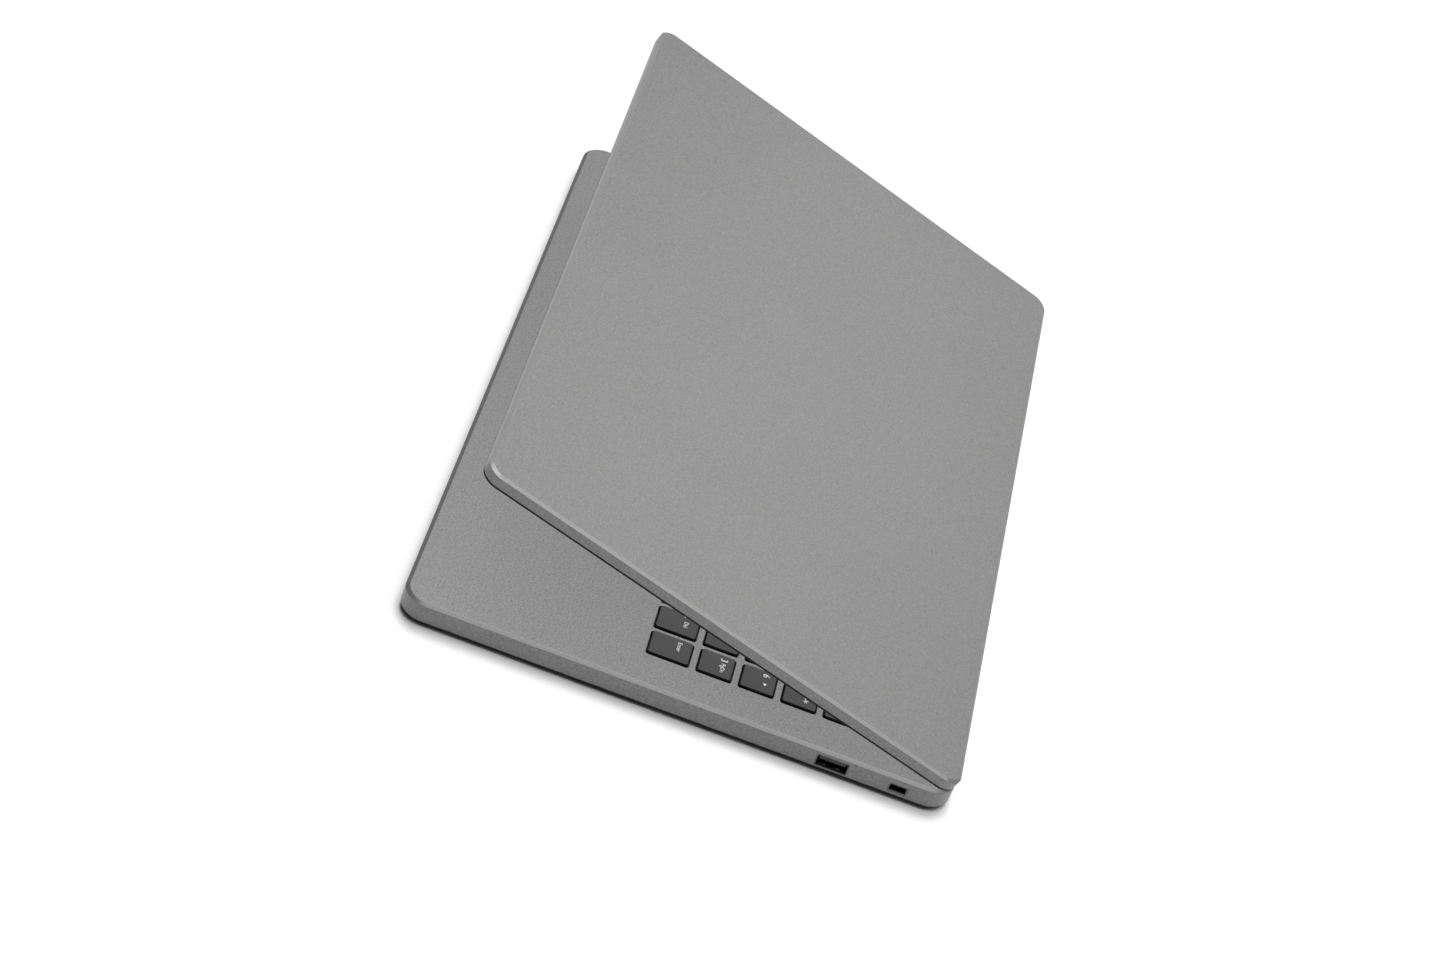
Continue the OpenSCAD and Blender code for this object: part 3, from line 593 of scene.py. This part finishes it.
def build_top_case():
    bd = Build()
    o = base_outline()
    oi = base_outline(k=1.0)
    za, zb = 2.68, 9.62
    prof = fillet([(0.25, COVER_Z), (0.0, COVER_Z + 0.15), (0, DECK - BEV_H), (BEV_W, DECK), (BEV_W + 3, DECK)],
                  [0, 0.1, 0.2, 0.3, 0], 4)
    prof = prof[:-1]
    low = [p for p in prof if p[1] < za]
    high = [p for p in prof if p[1] > zb]
    rings = [bd.ring(outline_ring(o, d, z)) for d, z in low]
    ra = bd.ring(outline_ring(o, 0, za))
    rb = bd.ring(outline_ring(o, 0, zb))
    tops = [bd.ring(outline_ring(o, d, z)) for d, z in high]
    for a, b in zip(rings + [ra], rings[1:] + [ra]):
        if a is not b:
            bd.bridge(a, b)
    bd.bridge(ra, rb, skip=(SEG_NOTCH, SEG_LEFT, SEG_RIGHT))
    bd.bridge(rb, tops[0])
    zs = [z for d, z in high]
    for a, b, z in zip(tops, tops[1:], zs):
        # the chamfer faces take the darker copy of the case metal, painted shade
        bd.bridge(a, b, 1 if z > DECK - BEV_H - 0.02 else 0)
    # inner walls
    inner = [bd.ring(outline_ring(oi, WALL, z)) for z in (COVER_Z, za, zb, ROOF)]
    bd.bridge(rings[0], inner[0])
    bd.bridge(inner[0], inner[1])
    bd.bridge(inner[1], inner[2], skip=(SEG_NOTCH, SEG_LEFT, SEG_RIGHT))
    bd.bridge(inner[2], inner[3])

    # a wall between the outer and inner skins with rounded holes in it
    def wall_holes(seg, holes, place, inward):
        n = len(ra)
        i, j = seg, (seg + 1) % n
        outer_loop = [ra[i], ra[j], rb[j], rb[i]]
        inner_loop = [inner[1][i], inner[1][j], inner[2][j], inner[2][i]]
        lo_out, lo_in = [outer_loop], [inner_loop]
        for a0, a1, b0, b1, r in holes:
            rs = []
            for g, dep in ((0.22, 0.0), (0.09, 0.035), (0.02, 0.11), (0.0, 0.22), (0.0, WALL)):
                rs.append(bd.ring([place(a, b, dep * inward) for a, b in
                                   rr(a0 - g, a1 + g, b0 - g, b1 + g, r + g, 8)]))
            for p, q in zip(rs, rs[1:]):
                bd.bridge(p, q)
            lo_out.append(rs[0])
            lo_in.append(rs[-1])
        bd.tess(lo_out)
        bd.tess(lo_in)

    wall_holes(SEG_RIGHT, right_holes, lambda a, b, d: (HW - d, a, b), 1)
    wall_holes(SEG_LEFT, left_holes, lambda a, b, d: (-HW + d, a, b), 1)
    wall_holes(SEG_NOTCH, notch_holes, lambda a, b, d: (a, NOTCH_Y - d, b), 1)

    # the deck, with an opening per key and one for the touchpad
    lo, hi = cad("touchpad")
    holes = [(k, 1.3) for k in ALL_KEYS] + [((lo[0] - 0.3, hi[0] + 0.3, lo[1] - 0.3, hi[1] + 0.3), 2.3)]
    top_loops, roof_loops = [tops[-1]], [inner[3]]
    for (x0, x1, y0, y1), r in holes:
        rs = []
        for g, dep in ((0.2, 0.0), (0.085, 0.03), (0.02, 0.1), (0.0, 0.2), (0.0, DECK - ROOF)):
            rs.append(bd.ring(at(rr(x0 - g, x1 + g, y0 - g, y1 + g, r + g, 6), DECK - dep)))
        for p, q in zip(rs, rs[1:]):
            bd.bridge(p, q)
        top_loops.append(rs[0])
        roof_loops.append(rs[-1])
    bd.tess(top_loops)
    bd.tess(roof_loops)
    return bd.obj("case_shell", "base", [CASE, DECK_CHAMFER_SHADE], stands_for=["top_case"])


build_top_case()


def build_bottom_cover():
    bd = Build()
    o = base_outline()
    prof = fillet([(4, SHELL_Z), (1.15, SHELL_Z), (0.12, COVER_Z - 0.2), (0.3, COVER_Z - 0.03)], [0, 0.35, 0.2, 0], 4)[1:]
    ids = [bd.ring(outline_ring(o, d, z)) for d, z in prof]
    for a, b in zip(ids, ids[1:]):
        bd.bridge(a, b)
    slots = [(FAN_X - 20 + i * 3, FAN_X - 18.4 + i * 3, FAN_Y - 17, FAN_Y + 17, 0.75) for i in range(14)]
    slots += [(-30 + i * 4, -28.2 + i * 4, FAN_Y - 8, FAN_Y + 8, 0.85) for i in range(21)]
    slots += [(s * 140 - 15 + i * 4, s * 140 - 13 + i * 4, -92, -84, 0.95) for s in (-1, 1) for i in range(8)]
    bot, top = [ids[0]], [ids[-1]]
    for x0, x1, y0, y1, r in slots:
        rs = []
        for g, z in ((0.25, SHELL_Z), (0.08, SHELL_Z + 0.06), (0, SHELL_Z + 0.22), (0, COVER_Z - 0.03)):
            rs.append(bd.ring(at(rr(x0 - g, x1 + g, y0 - g, y1 + g, r + g, 6), z)))
        for p, q in zip(rs, rs[1:]):
            bd.bridge(p, q)
        bot.append(rs[0])
        top.append(rs[-1])
    for px, py in [(-168, -103), (168, -103), (-60, -107.5), (60, -107.5), (-170, -25), (170, -25),
                   (-168, 98), (168, 98), (-40, 98), (40, 98)]:
        rs = []
        for r, z in ((2.55, SHELL_Z), (2.35, SHELL_Z + 0.06), (2.3, SHELL_Z + 0.2), (2.3, SHELL_Z + 0.7),
                     (1.05, SHELL_Z + 0.7), (1.05, COVER_Z - 0.03)):
            rs.append(bd.ring([(px + r * math.cos(math.tau * i / 32), py + r * math.sin(math.tau * i / 32), z)
                               for i in range(32)]))
        for p, q in zip(rs, rs[1:]):
            bd.bridge(p, q)
        bot.append(rs[0])
        top.append(rs[-1])
    bd.tess(bot)
    bd.tess(top)
    return bd.obj("under_cover", "base", [UNDER_PAINTED_SHADE], stands_for=["bottom_cover"])


build_bottom_cover()


# ------------------------------------------------------------------ feet, touchpad
bd = Build()
for px, py in [(-138, -100), (138, -100), (-138, 88), (138, 88)]:
    prof = fillet([(1.0, 0), (0.7, 0), (0.0, 0.5), (0.0, SHELL_Z)], [0, 0.3, 0.3, 0], 4)
    bd.loft([at(rr(px - 15 + d, px + 15 - d, py - 4.5 + d, py + 4.5 - d, 4.2 - d, 10), z) for d, z in prof])
bd.obj("feet", "base", [RUBBER], stands_for=["rubber_feet"])

lo, hi = cad("touchpad")
bd = Build()
prof = fillet([(0, lo[2]), (0, hi[2] - 0.12), (0.3, hi[2]), (1.5, hi[2])], [0, 0.05, 0.2, 0], 3)
ids = bd.loft([at(rr(lo[0] + d, hi[0] - d, lo[1] + d, hi[1] - d, 2 - min(d, 1.2), 8), z) for d, z in prof])
bd.obj("touchpad_plate", "touchpad_plate", [PAD], stands_for=["touchpad"])


# ------------------------------------------------------------------ lid
def lid_rings(prof, n=14):
    return [at(rr(-HW + d, HW - d, LID_Y0 + d, LID_Y1 - d, max(LID_R - d, 0.2), n), z) for d, z in prof]


bd = Build()
LBW, LBH = 1.35, 0.95
prof = fillet([(1.3, SEAM), (0.0, SEAM), (0.0, LID_TOP - LBH), (LBW, LID_TOP - 0.06), (LBW + 5, LID_TOP - 0.03)],
              [0, 0.12, 0.14, 0.18, 0], 4)
prof += [(14, LID_TOP - 0.015), (34, LID_TOP - 0.005), (70, LID_TOP)]
outer = [bd.ring(r) for r in lid_rings(prof)]
for a, b, p, q in zip(outer, outer[1:], prof, prof[1:]):
    start = len(bd.f)
    bd.bridge(a, b, 1 if p[1] > LID_TOP - LBH - 0.02 and q[0] < LBW + 0.2 else 0)
    for k in range(start, len(bd.f)):          # the rear edge's chamfer, which lies in shade, keeps the plain case metal without the painted highlight
        if min(bd.v[i][1] for i in bd.f[k]) > LID_Y1 - 2.5:
            bd.m[k] = 0
bd.face(outer[-1])
inner = [bd.ring(r) for r in lid_rings([(1.3, SEAM + 0.01), (1.3, LID_TOP - 1.2)])]
bd.bridge(outer[0], inner[0])
bd.bridge(inner[0], inner[1])
bd.face(inner[-1])
bd.obj("lid_shell", "lid", [CASE, LID_CHAMFER_HIGHLIGHT], lid=True, stands_for=["lid_cover"])

# bezel: outer band, flat face, sloped window edge
bd = Build()
face_z = RIM - 0.4
out_prof = fillet([(1.5, RIM + 0.55), (1.5, SEAM - 0.01), (0.06, SEAM - 0.01), (0.06, face_z), (3, face_z)], [0, 0, 0.05, 0.14, 0], 3)[:-1]
ro = [bd.ring(r) for r in lid_rings(out_prof)]
for a, b in zip(ro, ro[1:]):
    bd.bridge(a, b)


def view_ring(g, z, r=0.8):
    return at(rr(-VIEW_W / 2 - g, VIEW_W / 2 + g, VIEW_Y0 - g, VIEW_Y0 + VIEW_D + g, r + g, 6), z)


win = [bd.ring(view_ring(g, z)) for g, z in ((0.9, face_z), (0.72, face_z + 0.04), (0.1, RIM + 0.45), (0.0, RIM + 0.55))]
for a, b in zip(win, win[1:]):
    bd.bridge(a, b)
cam_y = LID_Y0 + 5.2
hole = []
for r, z in ((1.75, face_z), (1.6, face_z + 0.08), (1.5, face_z + 0.3), (1.5, RIM + 0.55)):
    hole.append(bd.ring([(r * math.cos(math.tau * i / 32), cam_y + r * math.sin(math.tau * i / 32), z) for i in range(32)]))
for a, b in zip(hole, hole[1:]):
    bd.bridge(a, b)
bd.tess([ro[-1], win[0], hole[0]])
bd.tess([ro[0], win[-1], hole[-1]])
bd.obj("screen_bezel", "lid", [BEZEL], lid=True, stands_for=["display_bezel"])

# webcam lens and its light, microphone holes
bd = Build()
prof = [(1.38, RIM + 0.3), (1.38, face_z + 0.22), (1.2, face_z + 0.14), (0.95, face_z + 0.16), (0.9, face_z + 0.22)]
rings = [[(r * math.cos(math.tau * i / 32), cam_y + r * math.sin(math.tau * i / 32), z) for i in range(32)] for r, z in prof]
bd.loft(rings, 0)
dome = [[(r * math.cos(math.tau * i / 32), cam_y + r * math.sin(math.tau * i / 32), z) for i in range(32)]
        for r, z in [(0.88, face_z + 0.26), (0.8, face_z + 0.16), (0.55, face_z + 0.08), (0.25, face_z + 0.05)]]
bd.loft(dome, 1)
bd.obj("webcam_lens", "lid", [BLACK, LENS], lid=True)
bd = Build()
# The microphone holes are shallow dents in near-black: painted shade for the depth of each hole.
for px, r, m in ((5.2, 0.45, 1), (-42, 0.42, 0), (42, 0.42, 0)):
    rings = [[(px + q * math.cos(math.tau * i / 20), cam_y + q * math.sin(math.tau * i / 20), z) for i in range(20)]
             for q, z in ((r, face_z + 0.05), (r, face_z - 0.012), (r * 0.8, face_z - 0.02))]
    bd.loft(rings, m)
bd.obj("webcam_marks", "lid", [CAP_SIDE_AND_SHADE, LEGEND], lid=True)

# gasket: a raised rubber strip round three sides, ending at the hinge
bd = Build()
path = []
r, n = LID_R, 14
path.append((-NOTCH_X - 1, LID_Y1, 0, -1))
for cx, cy, a0 in ((-HW + r, LID_Y1 - r, 90), (-HW + r, LID_Y0 + r, 180), (HW - r, LID_Y0 + r, 270), (HW - r, LID_Y1 - r, 0)):
    for i in range(n + 1):
        a = math.radians(a0 + 90 * i / n)
        path.append((cx + r * math.cos(a), cy + r * math.sin(a), -math.cos(a), -math.sin(a)))
path.append((NOTCH_X + 1, LID_Y1, 0, -1))
sect = [(0.2, RIM - 0.41), (0.2, LID_Z + 0.14), (0.3, LID_Z + 0.03), (0.55, LID_Z), (2.3, LID_Z), (2.6, LID_Z + 0.06), (2.7, RIM - 0.41)]
ids = [bd.ring([(x + ix * d, y + iy * d, z) for x, y, ix, iy in path]) for d, z in sect]
for a, b in zip(ids, ids[1:] + ids[:1]):
    bd.bridge(a, b, closed=False)
bd.face([i[0] for i in ids])
bd.face([i[-1] for i in ids])
bd.obj("screen_gasket", "lid", [RUBBER], lid=True, stands_for=["lid_gasket"])


# hinge cover: barrel round the axis with a neck up to the lid
def barrel_section(shrink, n=40):
    pts = []
    rad = 4.2 - shrink
    y0, y1, zt = -2.8 + shrink, 0.4 - shrink, face_z - HZ
    a_front = math.atan2(math.sqrt(rad * rad - y0 * y0), y0)
    a_rear = math.atan2(math.sqrt(rad * rad - y1 * y1), y1)
    pts.append((y0, zt))
    total = (math.tau - (a_front - a_rear))
    for i in range(n + 1):
        a = a_front + total * i / n
        pts.append((rad * math.cos(a), rad * math.sin(a)))
    pts.append((y1, zt))
    return [(HY + y, HZ + z) for y, z in pts]


bd = Build()
ends = [(0.45, 0.0), (0.2, 0.06), (0.06, 0.2), (0.0, 0.45)]
sections = [(-138.4 + d, s) for s, d in ends] + [(138.4 - d, s) for s, d in reversed(ends)]
bd.loft([[(x, y, z) for y, z in barrel_section(s)] for x, s in sections])
bd.obj("hinge_barrel", "lid", [BLACK], lid=True, stands_for=["hinge_cover"])

# hinge knuckles, with the arm into the base
for side, s in (("left", -1), ("right", 1)):
    bd = Build()
    n = 48
    prof = [(2.05, 0.0), (3.8, 0.0), (4.08, 0.08), (4.2, 0.4), (4.2, 10.8), (4.08, 11.12), (3.8, 11.2), (2.05, 11.2)]
    rings = []
    for rad, dx in prof:
        x = s * (139.0 + dx)
        rings.append([(x, HY + rad * math.cos(math.tau * i / n), HZ + rad * math.sin(math.tau * i / n)) for i in range(n)])
    ids = [bd.ring(q) for q in rings]
    for a, b in zip(ids, ids[1:] + ids[:1]):
        bd.bridge(a, b)
    x0, x1 = s * 144.5 - 4.5, s * 144.5 + 4.5
    bd.loft([at(rr(x0 + d, x1 - d, 86 + d, HY - 2.4, 0.6, 4), z) for d, z in
             ((0.2, 4.0), (0, 4.2), (0, 6.8), (0.2, 7.0))])
    bd.obj("hinge_knuckle_" + side, "base", [DARK_STEEL], stands_for=["hinge_bracket_" + side])


# ------------------------------------------------------------------ sockets
def socket(name, node, side, y, z, w, h, depth, tongue, set_back, r, contacts, t_dz, t_h, clips=()):
    """side is +1 on the right, -1 on the left. A metal shell lined in black, with a tongue and contacts."""
    bd = Build()

    def P(a, b, d):
        return (side * (HW - d), a, b)

    def R(g, d):
        return [P(a, b, d) for a, b in rr(y - w / 2 - g, y + w / 2 + g, z - h / 2 - g, z + h / 2 + g, r + g, 8)]
    outer = [bd.ring(R(0.34, d)) for d in (depth + 0.9, 0.2)]
    lip = [bd.ring(R(g, d)) for g, d in ((0.28, 0.07), (0.2, 0.05), (0.06, 0.06), (0.0, 0.16))]
    liner = [bd.ring(R(0.0, d)) for d in (1.1, depth)]
    bd.bridge(outer[0], outer[1], 0)
    bd.bridge(outer[1], lip[0], 0)
    for a, b in zip(lip, lip[1:]):
        bd.bridge(a, b, 0)
    bd.bridge(lip[-1], liner[0], 0)
    bd.bridge(liner[0], liner[1], 1)
    bd.face(liner[1], 1)
    bd.face(outer[0], 0)
    # tongue
    tz = z + t_dz
    prof = [(0.25, set_back), (0.08, set_back + 0.08), (0, set_back + 0.3), (0, depth)]
    bd.loft([[P(a, b, d) for a, b in rr(y - tongue / 2 + g, y + tongue / 2 - g, tz - t_h / 2 + g, tz + t_h / 2 - g, 0.12, 3)]
             for g, d in prof], 1)
    # spring clips stand on the shell's two broad walls
    for c in clips:
        for up in (-1, 1):
            zw = z + up * h / 2
            bd.loft([[P(y + c + u, zw - up * lift, d) for u in (-0.9, 0.9)] + [P(y + c + u, zw + up * 0.02, d) for u in (0.9, -0.9)]
                     for d, lift in ((1.3, 0.03), (2.2, 0.42), (3.0, 0.5), (5.2, 0.04))], 3)
    # contacts lie along the tongue's lower face
    for c in contacts:
        zc = tz - t_h / 2
        bd.loft([[P(y + c + u, zc + v, d) for u, v in ((-0.42, -0.07), (0.42, -0.07), (0.42, 0.03), (-0.42, 0.03))]
                 for d in (set_back + 0.7, depth - 0.3)], 2)
    return bd.obj(name, "base", [SHELL_STEEL, TONGUE, GOLD, CLIP], stands_for=[node], sharp=50)


socket("usb_socket_right", "usb_a_port_right", 1, USB_Y, USB_Z, 12.6, 5.1, 11.5, 11.1, 1.2, 0.3, (-3.5, -1.0, 1.0, 3.5), 0.85, 1.84, (-3.1, 3.1))
socket("usb_socket_left", "usb_a_port_left", -1, 30, USB_Z, 12.6, 5.1, 11.5, 11.1, 1.2, 0.3, (-3.5, -1.0, 1.0, 3.5), 0.85, 1.84, (-3.1, 3.1))
socket("hdmi_socket", "hdmi_port", -1, 52, USB_Z, 14.2, 4.6, 10, 11.2, 1.6, 0.6, (-4.4, -3.1, -1.8, -0.5, 0.8, 2.1, 3.4, 4.6), 0.1, 0.9)
socket("usb_c_socket", "usb_c_port", -1, 8, USB_Z, 8.6, 2.7, 7, 6.6, 1.2, 1.2, (-2.4, -1.2, 0.0, 1.2, 2.4), 0.0, 0.7)


def tube_x(bd, x0, x1, y, z, ro_, ri, m=0, n=40, lip=0.25):
    """A tube along X from its mouth x0 to its blind end x1."""
    s = 1 if x1 > x0 else -1

    def C(x, r):
        return [(x, y + r * math.cos(math.tau * i / n), z + r * math.sin(math.tau * i / n)) for i in range(n)]
    rings = [C(x1, ro_), C(x0 + s * 0.2, ro_), C(x0 + s * 0.03, ro_ - 0.12), C(x0, ro_ - 0.3), C(x0, ri + lip),
             C(x0 + s * 0.06, ri + 0.06), C(x0 + s * 0.25, ri), C(x1 - s * 1.0, ri)]
    ids = [bd.ring(q) for q in rings]
    for a, b in zip(ids, ids[1:]):
        bd.bridge(a, b, m)
    bd.face(ids[0], m)
    bd.face(ids[-1], m)


bd = Build()
tube_x(bd, -HW + 0.06, -HW + 11, 80, 6.2, 3.38, 2.6, 0)
rings = []
for r, x in ((0.25, 1.22), (0.55, 1.3), (0.8, 1.7), (0.8, 9.6)):
    rings.append([(-HW + x, 80 + r * math.cos(math.tau * i / 24), 6.2 + r * math.sin(math.tau * i / 24)) for i in range(24)])
bd.loft(rings, 1)
bd.obj("power_inlet", "base", [BLACK, STEEL], stands_for=["dc_jack"])
bd = Build()
tube_x(bd, -HW + 0.06, -HW + 14, -12, 6.3, 2.88, 1.8, 0)
bd.obj("headphone_socket", "base", [BLACK], stands_for=["audio_jack"])

# lock slot: metal frame with a dark pocket behind it
bd = Build()


def LP(g, d):
    return [(HW - d, a, b) for a, b in rr(LOCK_Y - 3.4 - g, LOCK_Y + 3.4 + g, LOCK_Z - 1.5 - g, LOCK_Z + 1.5 + g, 0.5 + g * 0.8, 8)]


ids = [bd.ring(LP(g, d)) for g, d in ((0.5, 3.5), (0.5, 0.22), (0.42, 0.1), (0.2, 0.08), (0.05, 0.12), (0, 0.3), (0, 3.3))]
for a, b in zip(ids, ids[1:]):
    bd.bridge(a, b, 0 if b is not ids[-1] else 1)
bd.face(ids[0], 1)
bd.face(ids[-1], 1)
bd.obj("lock_frame", "base", [SHELL_STEEL, POCKET], stands_for=["lock_slot_frame"], sharp=50)


# ------------------------------------------------------------------ finishes on the CAD parts that stay
KEEP = {"bottom_screws": STEEL, "motherboard": BOARD, "cpu_package": BLACK, "heat_pipe": COPPER, "heatsink_fins": FIN,
        "fan_housing": BLACK, "fan_impeller": BLACK, "ssd_module": BOARD, "memory_module": BOARD, "wifi_card": BOARD,
        "battery_pack": WRAP, "speaker_left": BLACK, "speaker_right": BLACK, "touchpad_bracket": STEEL,
        "keyboard_plate": DARK_STEEL, "key_domes": RUBBER, "lcd_panel": SCREEN, "webcam_module": BOARD,
        "hinge_arm_left": STEEL, "hinge_arm_right": STEEL, "display_cable": RIBBON, "wifi_antennas": RIBBON,
        "lid_magnets": STEEL}
for node, m in KEEP.items():
    o = frame["nodes"][node]
    o.data.materials.clear()
    o.data.materials.append(m)
    for p in o.data.polygons:
        p.material_index = 0
    if node in ("bottom_screws", "fan_impeller", "fan_housing", "heat_pipe", "battery_pack"):
        w = o.modifiers.new("weld", "WELD")
        w.merge_threshold = 1e-6
        b = o.modifiers.new("bevel", "BEVEL")
        b.width = 0.0001
        b.segments = 2
        b.limit_method = "ANGLE"
        b.angle_limit = math.radians(40)


# ------------------------------------------------------------------ floor, light, camera
me = bpy.data.meshes.new("floor")
S, FLOOR_Z = 60.0, -0.0001
me.from_pydata([(-S, -S, FLOOR_Z), (S, -S, FLOOR_Z), (S, S, FLOOR_Z), (-S, S, FLOOR_Z)], [], [(0, 1, 2, 3)])
floor = bpy.data.objects.new("floor", me)
bpy.context.scene.collection.objects.link(floor)
fm = mat("floor_paper", (0.98, 0.98, 0.98), rough=0.9, grain=300, grain_amount=0.004, bump=0.0, spec=0.0, cloud=0.0)
me.materials.append(fm)

world = bpy.data.worlds.new("studio")
bpy.context.scene.world = world
world.use_nodes = True
# the backdrop is white to look at, and gives only a little light of its own
wt = world.node_tree
fill = wt.nodes["Background"]
fill.inputs["Color"].default_value = (1, 1, 1, 1)
fill.inputs["Strength"].default_value = 0.06
seen = wt.nodes.new("ShaderNodeBackground")
seen.inputs["Color"].default_value = (1, 1, 1, 1)
seen.inputs["Strength"].default_value = 1.0
path = wt.nodes.new("ShaderNodeLightPath")
choose = wt.nodes.new("ShaderNodeMixShader")
wt.links.new(path.outputs["Is Camera Ray"], choose.inputs["Fac"])
wt.links.new(fill.outputs["Background"], choose.inputs[1])
wt.links.new(seen.outputs["Background"], choose.inputs[2])
wt.links.new(choose.outputs["Shader"], wt.nodes["World Output"].inputs["Surface"])


def open_to(light, body):
    """The pieces on one body cast no shadow from this light."""
    c = bpy.data.collections.new(light.name + "_passes")
    light.light_linking.blocker_collection = c
    for o in bpy.context.scene.objects:
        if o.type == "MESH" and o.parent is frame["bodies"][body]:
            c.objects.link(o)
    for item in c.collection_objects:
        item.light_linking.link_state = "EXCLUDE"


def sun(name, toward, power, angle=34):
    """A soft distant light in the direction of one point."""
    L = bpy.data.lights.new(name, "SUN")
    L.energy = power
    L.angle = math.radians(angle)
    o = bpy.data.objects.new(name, L)
    o.location = toward
    o.rotation_euler = (-Vector(toward)).to_track_quat("-Z", "Y").to_euler()
    bpy.context.scene.collection.objects.link(o)
    return o


def area(name, loc, target, size, power, size_y=None):
    L = bpy.data.lights.new(name, "AREA")
    L.shape = "RECTANGLE"
    L.size = size
    L.size_y = size_y or size
    L.energy = power
    o = bpy.data.objects.new(name, L)
    o.location = loc
    o.rotation_euler = (Vector(target) - Vector(loc)).to_track_quat("-Z", "Y").to_euler()
    bpy.context.scene.collection.objects.link(o)
    return o


# The photograph is a cut-out with no shadow of the lid on the deck, so the overhead lights pass the lid.
open_to(sun("overhead", (0.35, 0.05, 2.6), 0.78), "lid")
open_to(sun("overhead_rear", (0.35, 1.15, 2.25), 0.58), "lid")
open_to(sun("overhead_left", (-0.9, 0.0, 2.3), 1.55), "lid")
open_to(area("near_left", (-0.9, -0.2, 1.9), (0, 0, 0), 0.9, 8.0), "lid")
area("rear_left", (-1.7, 0.9, 1.25), (0, 0, 0), 0.9, 7.0)
area("edge_left", (-2.0, -0.62, 1.4), (0, 0, 0), 0.9, 2.5)

bpy.context.scene.view_settings.view_transform = "Standard"
bpy.context.scene.view_settings.look = "None"

cam_data = bpy.data.cameras.new("camera")
cam = bpy.data.objects.new("camera", cam_data)
bpy.context.scene.collection.objects.link(cam)
RIGHT = Vector((-0.17102520877263028, 0.9368217330521905, 0.3051481909587022))
DOWN = Vector((0.5689123157155158, 0.3467606815541667, -0.7457183159580425))
FWD = Vector((-0.804418519796435, 0.046065933282417204, -0.5922742395202856))
m = Matrix((RIGHT, -DOWN, -FWD)).transposed().to_4x4()
m.translation = Vector((1.1781762524364624, -0.07335988738667591, 0.8415679112100526 + DECK * MM))
cam.matrix_world = m
cam_data.sensor_fit = "HORIZONTAL"
cam_data.sensor_width = 36.0
cam_data.lens = 3374.0079 / 1445 * 36.0
cam_data.clip_start = 0.01
cam_data.clip_end = 60
bpy.context.scene.camera = cam
